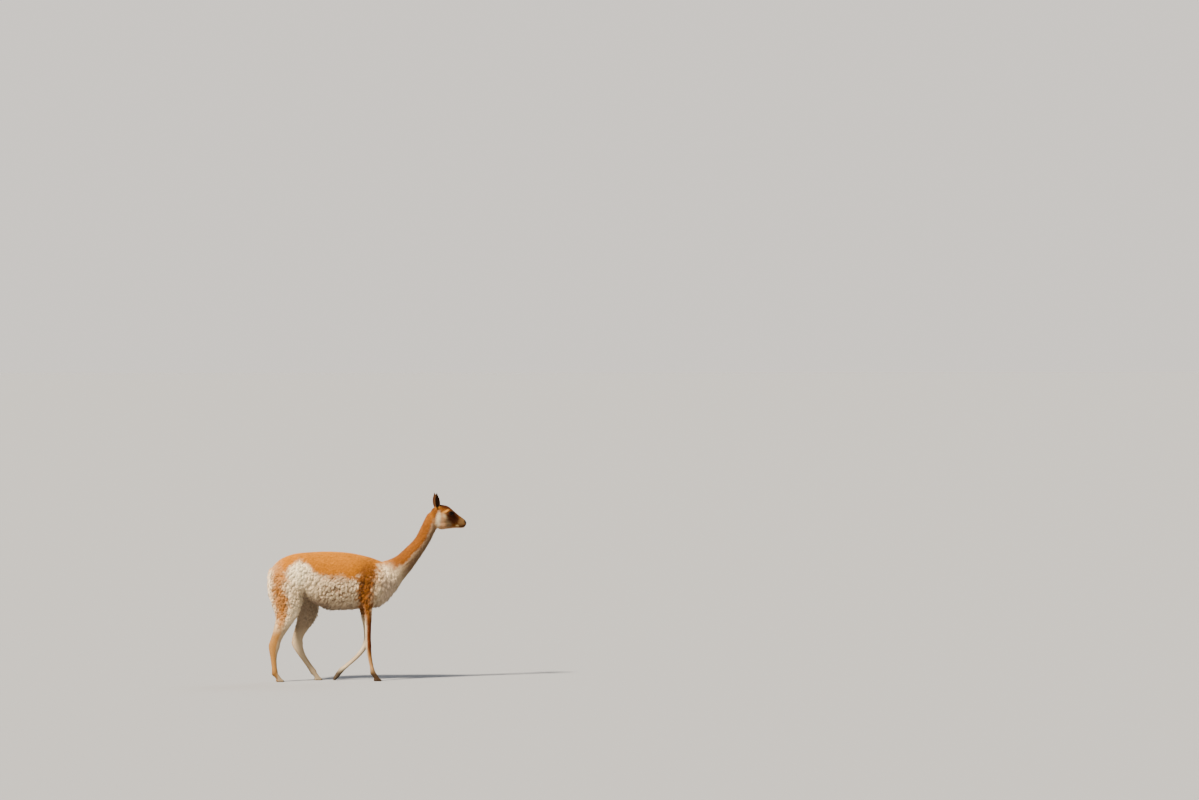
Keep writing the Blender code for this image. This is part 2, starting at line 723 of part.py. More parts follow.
def arch_cutter(name, grow):
    """The room of one leg: an arch over its root, open wide below the belly, sloping in to the middle."""
    middle, half_width, spring, top = ROOT_ARCHES[name]
    side = -1 if name.endswith("right") else 1
    rear, front = (-0.9, BETWEEN_LEGS) if name.startswith("hind") else (BETWEEN_LEGS, 0.4)
    front_gap = -grow if name.startswith("hind") else grow
    rear_gap = -grow if name.startswith("hind") else grow
    outline = [(rear + rear_gap, -0.1), (front + front_gap, -0.1), (front + front_gap, BELOW_BELLY - 0.01),
               (middle + half_width + grow, BELOW_BELLY + 0.01)]
    for step in range(13):
        angle = math.pi * step / 12
        x = middle + (half_width + grow) * math.cos(angle)
        outline.append((x, spring + (top - spring + grow) * math.sin(angle)))
    outline.append((middle - half_width - grow, BELOW_BELLY + 0.01))
    outline.append((outline[0][0], BELOW_BELLY - 0.01))

    def inner(z):
        share = (z - BELOW_BELLY) / (top - BELOW_BELLY)
        return max(0.0006, ROOT_DEPTH * min(share * 1.6, 1.0)) - grow

    return sheared_plate(name + "_room", outline_split(outline), inner, 0.4, side)


def outline_split(outline):
    """The outline with extra points on its upright sides, so that the inner slope can follow its height."""
    result = []
    for index, (x, z) in enumerate(outline):
        next_x, next_z = outline[(index + 1) % len(outline)]
        result.append((x, z))
        if abs(next_z - z) > 0.12 and min(z, next_z) >= BELOW_BELLY:
            result.append(((x + next_x) / 2, (z + next_z) / 2))
    return result


COLOURS = {
    "torso": (0.60, 0.33, 0.14), "neck": (0.58, 0.28, 0.10), "head": (0.50, 0.30, 0.14),
    "tail": (0.62, 0.36, 0.16), "ear": (0.35, 0.20, 0.10), "eye": (0.02, 0.012, 0.008),
    "thigh": (0.62, 0.42, 0.22), "shank": (0.66, 0.48, 0.29), "shoulder": (0.50, 0.25, 0.10),
    "forearm": (0.55, 0.33, 0.18),
    "cannon": (0.70, 0.52, 0.33), "foot": (0.60, 0.45, 0.28), "nail": (0.07, 0.05, 0.04),
}


def finish_node(thing, name):
    thing.name = name
    thing.data.name = name
    kind = next(word for word in COLOURS if word in name)
    surface = bpy.data.materials.new(name + "_surface")
    surface.use_nodes = True
    shader = surface.node_tree.nodes["Principled BSDF"]
    shader.inputs["Base Color"].default_value = (*COLOURS[kind], 1)
    shader.inputs["Roughness"].default_value = 0.15 if kind == "eye" else 0.85
    thing.data.materials.clear()
    thing.data.materials.append(surface)
    thing.data.polygons.foreach_set("use_smooth", [True] * len(thing.data.polygons))
    thing.data.set_sharp_from_angle(angle=math.radians(48))
    return thing


def build():
    clear_scene()
    nodes = {}

    forms = [torso_loft(), neck_loft(), head_placed(loft("head_form", head_rings(), 24))]
    for name in LEGS:
        forms.append(leg_loft(name))
        forms += foot_forms(name)
    body = fused("torso", forms, VOXEL, 9, BODY_TRIANGLES)

    draw = random.Random(FLEECE_SEED)
    with_clumps(body, seats_from(skin_of(body), flank_rays(draw) + chest_rays()))
    with_clumps(body, seats_from(skin_of(body), thigh_rays()), 0.8)
    body = fused("torso", [body], FLEECE_VOXEL, 2, FLEECE_TRIANGLES)

    head = fused("head", head_forms() + [neck_loft()], HEAD_VOXEL, 16, HEAD_TRIANGLES)
    nape, nape_normal = (NAPE[0], 0, NAPE[1]), (NAPE_NORMAL[0], 0, NAPE_NORMAL[1])
    half(head, Vector(nape) + Vector(nape_normal).normalized() * NODE_GAP / 2, nape_normal)
    half(body, Vector(nape) - Vector(nape_normal).normalized() * NODE_GAP / 2, -Vector(nape_normal))
    base, base_normal = (NECK_BASE[0], 0, NECK_BASE[1]), (NECK_BASE_NORMAL[0], 0, NECK_BASE_NORMAL[1])
    nodes["neck"] = parted(body, "neck", base, base_normal)

    tools = [mouth_cutter(), cleft_cutter()]
    for side, word in ((-1, "right"), (1, "left")):
        centre = head_point(EYE, side)
        nodes["eye_" + word] = ball("eye", centre, (EYE_RADIUS,) * 3, detail=(16, 10))
        tools.append(ball("socket", centre, (EYE_RADIUS + NODE_GAP * 1.2,) * 3, detail=(16, 10)))
        tools.append(lid_cutter(side))
        tools.append(nostril_cutter(side))
        tools.append(ear("ear_room", side, NODE_GAP, False))
        nodes["ear_" + word] = ear("ear", side)
    nodes["head"] = largest_surface(cut(head, tools))

    nodes["tail"] = tail_loft("tail")
    tail_rays = [((-1.2, y, z), (1, 0, 0)) for y, z in TAIL_SEATS]
    tail_seats = seats_from(skin_of(nodes["tail"]), tail_rays)
    with_clumps(nodes["tail"], tail_seats, TAIL_CLUMP)
    cut(body, [with_clumps(tail_loft("tail_room", NODE_GAP), tail_seats, TAIL_CLUMP, NODE_GAP)])

    for name in LEGS:
        leg = copied(body, name)
        cut(leg, [arch_cutter(name, 0.0)], "INTERSECT")
        cut(body, [arch_cutter(name, NODE_GAP)])
        largest_surface(leg)
        upper, middle = ("thigh", "shank") if name.startswith("hind") else ("shoulder", "forearm")
        place, ahead = Vector(leg_place(name, UPPER_LEG)), Vector(leg_place(name, UPPER_LEG + 0.05))
        shank = parted(leg, "shank", place, ahead - place)
        place, ahead = Vector(leg_place(name, LOWER_LEG)), Vector(leg_place(name, LOWER_LEG + 0.05))
        cannon = parted(shank, "cannon", place, ahead - place)
        place, ahead = Vector(leg_place(name, ANKLE)), Vector(leg_place(name, ANKLE + 0.05))
        foot = parted(cannon, "foot", place, ahead - place)
        for side, word in ((-1, "right"), (1, "left")):
            cut(foot, [nail(name, side, NODE_GAP)])
            claw = nail(name, side)
            nodes[f"{name}_nail_{word}"] = half(claw, (0, 0, 0), (0, 0, 1))
        half(foot, (0, 0, 0), (0, 0, 1))
        nodes[f"{name}_{upper}"] = largest_surface(leg)
        nodes[f"{name}_{middle}"] = largest_surface(shank)
        nodes[name + "_cannon"] = largest_surface(cannon)
        nodes[name + "_foot"] = largest_surface(foot)
    nodes["torso"] = largest_surface(body)

    for name, thing in nodes.items():
        finish_node(thing, name)

    corners = [Vector(vertex.co) for thing in nodes.values() for vertex in thing.data.vertices]
    low = [min(corner[axis] for corner in corners) for axis in range(3)]
    high = [max(corner[axis] for corner in corners) for axis in range(3)]
    shift = Vector((-(low[0] + high[0]) / 2, -(low[1] + high[1]) / 2, -low[2]))
    for thing in nodes.values():
        thing.data.transform(Matrix.Translation(shift))
    return nodes, shift


NODES, SHIFT = build()
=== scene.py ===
import math

import bmesh
import bpy
import numpy as np
from mathutils import Matrix, Vector
from mathutils.kdtree import KDTree


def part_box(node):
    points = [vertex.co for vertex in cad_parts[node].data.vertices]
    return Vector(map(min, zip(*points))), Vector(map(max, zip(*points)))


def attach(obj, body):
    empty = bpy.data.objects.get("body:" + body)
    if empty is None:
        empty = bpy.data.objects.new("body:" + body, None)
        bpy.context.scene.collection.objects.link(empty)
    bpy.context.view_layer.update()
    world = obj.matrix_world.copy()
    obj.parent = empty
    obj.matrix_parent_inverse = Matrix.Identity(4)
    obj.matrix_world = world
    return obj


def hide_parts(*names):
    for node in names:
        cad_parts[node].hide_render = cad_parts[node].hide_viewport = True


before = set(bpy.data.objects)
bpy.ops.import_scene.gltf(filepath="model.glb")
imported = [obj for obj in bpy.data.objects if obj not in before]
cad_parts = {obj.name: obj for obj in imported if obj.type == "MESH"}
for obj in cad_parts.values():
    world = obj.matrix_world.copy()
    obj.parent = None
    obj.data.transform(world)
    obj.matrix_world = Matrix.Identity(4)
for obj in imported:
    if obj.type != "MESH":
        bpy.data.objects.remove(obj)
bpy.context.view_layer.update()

# The head is turned a little to the left about the nape, and the eyes say where the drawing lies.
HEAD_TURN = math.radians(5.5)
HEAD_STRETCH = 1.014
HEAD_HINGE = 0.47
EYE = (0.598, 0.0365, 1.209)


def head_point(point, side=1):
    """The place in the turned head of a point given for the left side of the straight head."""
    x, y, z = point
    place = Matrix.Rotation(HEAD_TURN, 3, "Z") @ Vector(((x - HEAD_HINGE) * HEAD_STRETCH, side * y, 0))
    return Vector((HEAD_HINGE + place.x, place.y, z))


eye_low, eye_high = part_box("eye_right")
SHIFT = (eye_low + eye_high) / 2 - head_point(EYE, -1)


def new_object(name, data):
    made = bpy.data.objects.new(name, data)
    bpy.context.scene.collection.objects.link(made)
    return made


# The camera looks from far off with a long lens, a little above the back and square to the near side.
CAMERA_REACH = 36.2
CAMERA_HEIGHT = 2.43
CAMERA_SWING = math.radians(-4)
LENS, SENSOR = 150, 36
FOCUS_PIXELS = LENS / SENSOR * 1199
AIM_RIGHT, AIM_DOWN = 232.5, 55
camera = new_object("camera", bpy.data.cameras.new("camera"))
bpy.context.scene.camera = camera
camera.data.lens, camera.data.sensor_width, camera.data.clip_end = LENS, SENSOR, 1000
camera.location = (SHIFT.x + CAMERA_REACH * math.sin(CAMERA_SWING),
                   SHIFT.y - CAMERA_REACH * math.cos(CAMERA_SWING), CAMERA_HEIGHT)
camera.rotation_euler = (math.pi / 2 - math.atan(AIM_DOWN / FOCUS_PIXELS), 0,
                         CAMERA_SWING - math.atan(AIM_RIGHT / FOCUS_PIXELS))


# The floor is a plain pale studio floor, painted matt, with no edge in view.
def linear(code):
    """An sRGB hex colour as linear red, green and blue."""
    parts = [int(code[index:index + 2], 16) / 255 for index in (1, 3, 5)]
    return tuple(part / 12.92 if part <= 0.04045 else ((part + 0.055) / 1.055) ** 2.4 for part in parts)


def fill_node(surface, node, values=None, links=None):
    """Sets the socket values of a node and the links into it."""
    for socket, value in (values or {}).items():
        node.inputs[socket].default_value = value
    for socket, source in (links or {}).items():
        surface.node_tree.links.new(source, node.inputs[socket])
    return node


def add_node(surface, kind, settings=None, values=None, links=None):
    """Adds a node to a material, with its settings, its socket values and the links into it."""
    made = surface.node_tree.nodes.new(kind)
    for name, value in (settings or {}).items():
        setattr(made, name, value)
    return fill_node(surface, made, values, links)


def ramped(surface, value, stops):
    """A colour ramp over a value: each stop has a place and a colour."""
    ramp = add_node(surface, "ShaderNodeValToRGB", links={"Fac": value})
    elements = ramp.color_ramp.elements
    for index in (0, -1):
        elements[index].position = stops[index][0]
    for place, _ in stops[1:-1]:
        elements.new(place)
    for element, (_, code) in zip(elements, stops):
        element.color = (*linear(code), 1)
    return ramp.outputs["Color"]


def mapped(surface, value, low, high, start=0.0, end=1.0):
    """A value between start and end, carried over to between low and high."""
    spans = {"From Min": start, "From Max": end, "To Min": low, "To Max": high}
    return add_node(surface, "ShaderNodeMapRange", values=spans, links={"Value": value}).outputs["Result"]


def new_material(name):
    surface = bpy.data.materials.new(name)
    surface.use_nodes = True
    return surface, surface.node_tree.nodes["Principled BSDF"]


floor_sheet = bmesh.new()
bmesh.ops.create_grid(floor_sheet, x_segments=1, y_segments=1, size=400)
floor = new_object("studio_floor", bpy.data.meshes.new("studio_floor"))
floor_sheet.to_mesh(floor.data)
floor_sheet.free()
floor_paint, floor_shader = new_material("matt floor paint")
fill_node(floor_paint, floor_shader, {"Base Color": (*linear("#898B8E"), 1), "Roughness": 0.9})
floor.data.materials.append(floor_paint)

# The light is soft and plain: a room that is pale low down and dimmer overhead, a warm sun-like lamp
# high on the left, and a weak cool one from the right rear. Both light the whole floor evenly.
world = bpy.data.worlds.new("pale_room")
bpy.context.scene.world = world
world.use_nodes = True
room_place = add_node(world, "ShaderNodeTexCoord").outputs["Generated"]
room_height = add_node(world, "ShaderNodeSeparateXYZ", links={"Vector": room_place}).outputs["Z"]
fill_node(world, world.node_tree.nodes["Background"], links={
    "Color": ramped(world, room_height, ((0.14, "#FFF7EE"), (0.3, "#F0F1F4"))),
    "Strength": mapped(world, room_height, 1.1, 0.36, 0.14, 0.4)})
for lamp_name, aim, power, softness, tint in (
        ("key_lamp", (-0.72, -0.6, 1.0), 15.6, 7, "#FFF0DA"),
        ("rim_lamp", (0.7, 0.75, 0.8), 1.2, 20, "#EAF1FF")):
    lamp = bpy.data.lights.new(lamp_name, "SUN")
    lamp.energy, lamp.angle, lamp.color = power, math.radians(softness), linear(tint)
    lamp_thing = new_object(lamp_name, lamp)
    lamp_thing.location = Vector(aim) * 6
    lamp_thing.rotation_euler = Vector(aim).to_track_quat("Z", "Y").to_euler()

# The hide: one closed skin over the whole body. It is drawn as ovals along the torso, neck, head, tail
# and legs, run together and smoothed, finer on the head and feet, then sunk by the depth of the coat.
TORSO = (
    (-0.704, 0.78, 0.64, 0.04, 0.0), (-0.69, 0.822, 0.585, 0.08, 0.0),
    (-0.655, 0.866, 0.56, 0.106, 0.0), (-0.6, 0.901, 0.575, 0.122, 0.0),
    (-0.52, 0.927, 0.6, 0.129, 0.0), (-0.44, 0.936, 0.592, 0.131, -0.03),
    (-0.37, 0.94, 0.552, 0.134, -0.06), (-0.3, 0.942, 0.519, 0.138, -0.08),
    (-0.2, 0.939, 0.515, 0.141, -0.08), (-0.11, 0.93, 0.517, 0.138, -0.06),
    (-0.035, 0.915, 0.52, 0.131, -0.04), (0.035, 0.897, 0.523, 0.121, 0.0),
    (0.095, 0.874, 0.54, 0.108, 0.0), (0.145, 0.848, 0.58, 0.09, 0.0),
    (0.19, 0.815, 0.628, 0.066, 0.0), (0.22, 0.775, 0.682, 0.035, 0.0))
NECK = (
    (0.078, 0.722, 0.16, 0.102), (0.15, 0.761, 0.122, 0.085), (0.212, 0.804, 0.094, 0.069),
    (0.27, 0.853, 0.078, 0.058), (0.321, 0.911, 0.069, 0.052), (0.371, 0.971, 0.061, 0.047),
    (0.408, 1.025, 0.058, 0.045), (0.447, 1.102, 0.06, 0.046), (0.486, 1.175, 0.063, 0.046),
    (0.5, 1.212, 0.047, 0.044), (0.515, 1.245, 0.03, 0.038))
NECK_BASE, NECK_BASE_NORMAL = (0.19, 0.812), (0.8645, 0.5026)
NAPE, NAPE_NORMAL = (0.484, 1.165), (0.9292, 0.3697)
TAIL = (
    (-0.648, 0.842, 0.016, 0.024), (-0.677, 0.812, 0.02, 0.032), (-0.692, 0.77, 0.021, 0.038),
    (-0.697, 0.72, 0.021, 0.04), (-0.697, 0.67, 0.019, 0.037), (-0.695, 0.625, 0.014, 0.028),
    (-0.692, 0.598, 0.006, 0.014))
LEGS = {
    "hind_right": ((-0.6, -0.075, 0.8), (-0.59, -0.094, 0.511), (-0.676, -0.083, 0.26),
                   (-0.672, -0.08, 0.062), (-0.606, -0.082, 0.0)),
    "hind_left": ((-0.59, 0.075, 0.8), (-0.438, 0.094, 0.511), (-0.5, 0.083, 0.272),
                  (-0.385, 0.08, 0.062), (-0.32, 0.082, 0.0)),
    "fore_right": ((0.01, -0.078, 0.7), (0.004, -0.088, 0.56), (0.004, -0.08, 0.258),
                   (0.036, -0.077, 0.062), (0.098, -0.079, 0.0)),
    "fore_left": ((0.0, 0.078, 0.7), (-0.022, 0.088, 0.56), (-0.006, 0.08, 0.258),
                  (-0.184, 0.077, 0.07), (-0.24, 0.079, 0.0)),
}
HIND_GIRTHS = (
    (0.0, 0.078, 0.03), (0.35, 0.114, 0.055), (0.7, 0.114, 0.056), (1.0, 0.098, 0.05),
    (1.3, 0.064, 0.042), (1.6, 0.046, 0.034), (1.85, 0.041, 0.028), (2.0, 0.044, 0.027),
    (2.15, 0.037, 0.0245), (2.4, 0.026, 0.0205), (2.75, 0.0225, 0.019), (3.0, 0.024, 0.0215))
FORE_GIRTHS = (
    (0.0, 0.076, 0.044), (0.5, 0.07, 0.048), (0.9, 0.048, 0.042), (1.1, 0.035, 0.034),
    (1.4, 0.027, 0.027), (1.8, 0.023, 0.024), (2.0, 0.024, 0.0265), (2.15, 0.0205, 0.0225),
    (2.45, 0.0175, 0.018), (2.8, 0.0175, 0.0182), (3.0, 0.0205, 0.0215))
TOE = (
    (0.0, 1.0, 0.006, 0.019, 0.0145), (0.3, 0.56, 0.0095, 0.018, 0.014),
    (0.58, 0.22, 0.0125, 0.016, 0.013), (0.8, 0.12, 0.013, 0.0125, 0.012),
    (0.93, 0.09, 0.013, 0.008, 0.0085))
HEEL = (0.4, 0.012, 0.013, 0.0205, 0.0125)
BODY_GRAIN = 0.0056
FOOT_GRAIN = 0.0026
ANKLE_HEIGHT = 0.1


def finish_mesh(name, mesh):
    """The bmesh as an object in the scene, with its faces pointing out."""
    bmesh.ops.remove_doubles(mesh, verts=mesh.verts, dist=1e-6)
    bmesh.ops.recalc_face_normals(mesh, faces=mesh.faces)
    data = bpy.data.meshes.new(name)
    mesh.to_mesh(data)
    mesh.free()
    return new_object(name, data)


def between(rows, place):
    """The row at a place along the rows, on a curve through them."""
    first = min(int(place), len(rows) - 2)
    t = place - first
    picked = [rows[min(max(first + step, 0), len(rows) - 1)] for step in (-1, 0, 1, 2)]
    a, b, c, d = (np.array(row, float) for row in picked)
    return 0.5 * (2 * b + (c - a) * t + (2 * a - 5 * b + 4 * c - d) * t**2 + (3 * b - a - 3 * c + d) * t**3)


def smoothed(rows, per_span):
    """The rows with more between them, on the curve through them."""
    return [between(rows, place / per_span) for place in range((len(rows) - 1) * per_span + 1)]


def ring(centre, up, half_depth, half_width, widening=0.0, side=(0, 1, 0)):
    """A closed oval across a limb, with its depth along up and its width along side."""
    centre, up, side = Vector(centre), Vector(up).normalized(), Vector(side).normalized()

    def point(angle):
        out = half_width * math.cos(angle) * (1 + widening * math.sin(angle))
        return centre + up * (half_depth * math.sin(angle)) + side * out

    return point


def loft(name, rings, sides):
    """A closed skin drawn over a row of rings, with a flat cap at each end."""
    mesh = bmesh.new()
    before = []
    for place in rings:
        made = bmesh.ops.create_circle(mesh, segments=sides, radius=1.0, cap_ends=False)["verts"]
        for vertex in made:
            vertex.co = place(math.atan2(vertex.co.y, vertex.co.x))
        edges = list(dict.fromkeys(edge for vertex in made for edge in vertex.link_edges))
        if before:
            bmesh.ops.bridge_loops(mesh, edges=before + edges)
        before = edges
    bmesh.ops.holes_fill(mesh, edges=[edge for edge in mesh.edges if edge.is_boundary], sides=sides)
    return finish_mesh(name, mesh)


def path_rings(rows):
    """Rings square to a path: each row has x, y, z, half depth and half width."""
    rings = []
    for index, (x, y, z, half_depth, half_width) in enumerate(rows):
        ahead, behind = rows[min(index + 1, len(rows) - 1)], rows[max(index - 1, 0)]
        along = Vector((ahead[0] - behind[0], 0, ahead[2] - behind[2])).normalized()
        rings.append(ring((x, y, z), along.cross(Vector((0, 1, 0))), half_depth, half_width))
    return rings


def middle_rings(rows, per_span, deep_share=1.0, wide_share=1.0):
    """Rings along a path on the middle plane: each row has x, z, half depth and half width."""
    return path_rings([(x, 0, z, deep * deep_share, wide * wide_share)
                       for x, z, deep, wide in smoothed(rows, per_span)])


def ball(name, centre, half_sizes, turn=None, detail=(24, 16)):
    """A closed ball or rounded form, stretched along its own axes and then turned."""
    mesh = bmesh.new()
    bmesh.ops.create_uvsphere(mesh, u_segments=detail[0], v_segments=detail[1], radius=1.0)
    bmesh.ops.scale(mesh, vec=half_sizes, verts=mesh.verts)
    place = Matrix.Translation(centre) @ (turn.to_4x4() if turn else Matrix())
    bmesh.ops.transform(mesh, matrix=place, verts=mesh.verts)
    return finish_mesh(name, mesh)


def apply_modifiers(thing):
    graph = bpy.context.evaluated_depsgraph_get()
    data = bpy.data.meshes.new_from_object(thing.evaluated_get(graph))
    thing.modifiers.clear()
    thing.data = data
    return thing


def fused(name, things, grain, rounds, keep):
    """One smooth closed surface over several overlapping forms."""
    mesh = bmesh.new()
    for thing in things:
        mesh.from_mesh(thing.data)
        bpy.data.objects.remove(thing)
    made = finish_mesh(name, mesh)
    remesh = made.modifiers.new("fuse", "REMESH")
    remesh.mode, remesh.voxel_size = "VOXEL", grain
    smooth = made.modifiers.new("smooth", "SMOOTH")
    smooth.factor, smooth.iterations = 0.6, rounds
    made.modifiers.new("thin", "DECIMATE").ratio = keep
    return apply_modifiers(made)


def cut(thing, tools, operation="DIFFERENCE"):
    """Cuts a mesh with others, which are used up."""
    for tool in tools:
        step = thing.modifiers.new("cut", "BOOLEAN")
        step.object, step.operation, step.solver = tool, operation, "MANIFOLD"
        apply_modifiers(thing)
        bpy.data.objects.remove(tool)
    return thing


def girths_of(name):
    return HIND_GIRTHS if name.startswith("hind") else FORE_GIRTHS


def leg_loft(name, first=0, sides=20):
    rows = [(*between(LEGS[name][:4], place), depth, width) for place, depth, width in smoothed(girths_of(name), 3)]
    return loft(name, path_rings(rows[first:]), sides)


def foot_forms(name):
    """Two toes on each foot: standing toes bend forward on to the ground, trailing ones hang straight."""
    fetlock, tip = np.array(LEGS[name][3]), np.array(LEGS[name][4])
    _, half_depth, half_width = girths_of(name)[-1]
    forms = [ball(name + "_fetlock", fetlock, (half_depth, half_width, half_depth))]
    trails = tip[0] < fetlock[0]
    for side in (-1, 1):
        rows = []
        for share, height, out, half_depth, half_width in smoothed(TOE, 3):
            x, y, _ = fetlock + (tip - fetlock) * share
            z = fetlock[2] * (1 - 1.02 * share if trails else height)
            rows.append((x, y + side * out, z, half_depth, half_width))
        forms.append(loft(name + "_toe", path_rings(rows), 20))
        if not trails:
            share, out, half_height, half_length, half_width = HEEL
            middle = (fetlock[0] + (tip[0] - fetlock[0]) * share, tip[1] + side * out, half_height - 0.003)
            forms.append(ball(name + "_heel", middle, (half_length, half_width, half_height)))
    return forms


forms = [loft("torso", [ring((x, 0, (back + belly) / 2), (0, 0, 1), (back - belly) / 2, half_width, widening)
                        for x, back, belly, half_width, widening in smoothed(TORSO, 3)], 40)]
forms += [loft("neck", middle_rings(NECK, 3), 32), loft("tail", middle_rings(TAIL, 2, 0.8, 0.7), 16)]
forms += [leg_loft(name) for name in LEGS]
body = fused("body", forms, BODY_GRAIN, 8, 0.55)
feet = []
for name in LEGS:
    feet.append(leg_loft(name, 24, 28))
    feet += foot_forms(name)
feet = fused("feet", feet, FOOT_GRAIN, 10, 0.7)

# The head: a lofted skull with brows, cheeks, nose, lips and chin run into it. The sockets, the lids,
# the nostrils, the mouth and the split of the upper lip are then cut, and the ears are set on it.
HEAD = (
    (0.468, 1.236, 0.492, 1.118, 0.04, 0.05), (0.492, 1.262, 0.505, 1.096, 0.048, 0.12),
    (0.52, 1.274, 0.527, 1.09, 0.051, 0.2), (0.563, 1.269, 0.556, 1.091, 0.051, 0.28),
    (0.597, 1.255, 0.582, 1.095, 0.045, 0.32), (0.632, 1.225, 0.614, 1.098, 0.036, 0.22),
    (0.664, 1.198, 0.642, 1.1, 0.0295, 0.1), (0.694, 1.176, 0.672, 1.1, 0.0255, 0.0),
    (0.713, 1.16, 0.696, 1.102, 0.0225, 0.0), (0.7205, 1.147, 0.711, 1.111, 0.016, 0.0),
    (0.7235, 1.138, 0.718, 1.12, 0.009, 0.0))
HEAD_FORMS = (
    (0.588, 0.031, 1.229, 0.036, 0.0175, 0.015, 20), (0.602, 0.03, 1.19, 0.036, 0.013, 0.013, 25),
    (0.545, 0.022, 1.14, 0.06, 0.019, 0.04, 0), (0.698, 0.0125, 1.152, 0.019, 0.012, 0.012, 32),
    (0.692, 0.013, 1.13, 0.027, 0.0115, 0.012, 5), (0.684, 0.006, 1.109, 0.026, 0.0125, 0.0085, -3))
HEAD_GRAIN = 0.0018
EYE_RADIUS = 0.019
EYE_LOOK = (0.3, 0.94, 0.08)
LID_THICKNESS = 0.003
LID_OPENING = (0.0185, 0.0122)
LID_SLOPE = math.radians(-14)
LID_CURVE = 0.3
NOSTRIL = (0.712, 0.0125, 1.15)
NOSTRIL_SIZE = (0.0055, 0.009, 0.003)
MOUTH = ((0.73, 1.1235), (0.712, 1.1225), (0.69, 1.1165), (0.672, 1.1135), (0.655, 1.1145))
MOUTH_GAP = 0.0016
MOUTH_DEPTH = 0.005
LIP_CLEFT = (0.7215, 1.131, 0.01)
EAR_ROOT = (0.511, 0.033, 1.244)
EAR_TIP = (0.494, 0.042, 1.3545)
EAR_FORM = (
    (-0.12, 0.012, 0.0105), (0.08, 0.017, 0.0125), (0.28, 0.022, 0.012), (0.5, 0.0222, 0.0095),
    (0.7, 0.0172, 0.007), (0.86, 0.0095, 0.0045), (0.95, 0.005, 0.0028), (1.0, 0.002, 0.0016))
EAR_OPENING = (0.52, 0.85, 0.05)
EAR_WALL = 0.0024


def head_placed(thing):
    """Turns a form of the head a little to the left about the nape."""
    hinge = Matrix.Translation((HEAD_HINGE, 0, 0))
    stretch = Matrix.Diagonal((HEAD_STRETCH, 1, 1, 1))
    thing.data.transform(hinge @ Matrix.Rotation(HEAD_TURN, 4, "Z") @ stretch @ hinge.inverted())
    return thing


def head_rings(squeeze=1.0):
    rings = []
    for top_x, top_z, chin_x, chin_z, half_width, widening in smoothed(HEAD, 4):
        top, chin = Vector((top_x, 0, top_z)), Vector((chin_x, 0, chin_z))
        half_depth = (top - chin).length / 2
        rings.append(ring((top + chin) / 2, top - chin, half_depth * squeeze, half_width * squeeze, widening))
    return rings


def eye_aim(side):
    """The axes of an eye: forward along the lids, out of the socket, and up."""
    out = Vector((EYE_LOOK[0], side * EYE_LOOK[1], EYE_LOOK[2])).normalized()
    out = Matrix.Rotation(HEAD_TURN, 3, "Z") @ out
    fore = Vector((0, 0, 1)).cross(out).normalized() * -side
    up = fore.cross(out) * side
    turn = Matrix.Rotation(LID_SLOPE * -side, 3, out)
    return turn @ fore, out, turn @ up


def lid_cutter(side):
    """An almond prism that opens the lids in front of the eye."""
    fore, out, up = eye_aim(side)
    middle = head_point(EYE, side)
    long, high = LID_OPENING

    def almond(depth, scale):
        def point(angle):
            lift = high * math.sin(angle) * (1 - LID_CURVE * math.cos(angle) ** 2)
            return middle + out * depth + (fore * long * math.cos(angle) + up * lift) * scale
        return point

    return loft("lid_cutter", [almond(0.006, 0.006 / (EYE_RADIUS + 0.002)), almond(0.03, 1.6)], 48)


def mouth_cutter():
    """A thin curved plate in the mouth's line, kept near the skin by the muzzle's core."""
    mesh = bmesh.new()
    rows = []
    for x, z in smoothed(MOUTH, 6):
        low, high = z - MOUTH_GAP / 2, z + MOUTH_GAP / 2
        rows.append([mesh.verts.new((x, y, height)) for y, height in
                     ((-0.05, low), (0.05, low), (0.05, high), (-0.05, high))])
    for front, rear in zip(rows, rows[1:]):
        for index in range(4):
            follow = (index + 1) % 4
            mesh.faces.new((front[index], front[follow], rear[follow], rear[index]))
    mesh.faces.new(rows[0][::-1])
    mesh.faces.new(rows[-1])
    plate = finish_mesh("mouth_cutter", mesh)
    core = loft("muzzle_core", head_rings(1 - 2 * MOUTH_DEPTH / 0.05), 32)
    core.data.transform(Matrix.Translation((-MOUTH_DEPTH * 0.5, 0, 0)))
    return head_placed(cut(plate, [core]))


def ear_axes(side):
    """The root and tip of an ear, and the way its cup opens."""
    root, tip = head_point(EAR_ROOT, side), head_point(EAR_TIP, side)
    along = (tip - root).normalized()
    opening = Vector((EAR_OPENING[0], side * EAR_OPENING[1], EAR_OPENING[2]))
    return root, tip, (opening - along * opening.dot(along)).normalized()


def ear(side):
    """One ear: a leaf that stands on the head, with its cup open outwards and forwards."""
    root, tip, opening = ear_axes(side)
    across = (tip - root).normalized().cross(opening).normalized()
    shell, cup = [], []
    for share, half_width, half_depth in smoothed(EAR_FORM, 4):
        middle = root + (tip - root) * share + opening * (0.01 * share * share - 0.004 * share)
        shell.append(ring(middle, opening, half_depth, half_width, 0.0, across))
        if 0.0 < share < 0.97:
            ease = min(0.55 + 0.45 * share / 0.25, 1.0)
            deep, wide = half_depth * 1.85 - EAR_WALL, half_width - EAR_WALL * 0.55
            cup.append(ring(middle + opening * (half_depth * 0.85), opening, deep * ease, wide * ease, 0.0, across))
    return cut(loft("ear", shell, 36), [loft("cup", cup, 36)])


def turn_about(axis, degrees):
    return Matrix.Rotation(math.radians(degrees), 3, axis)


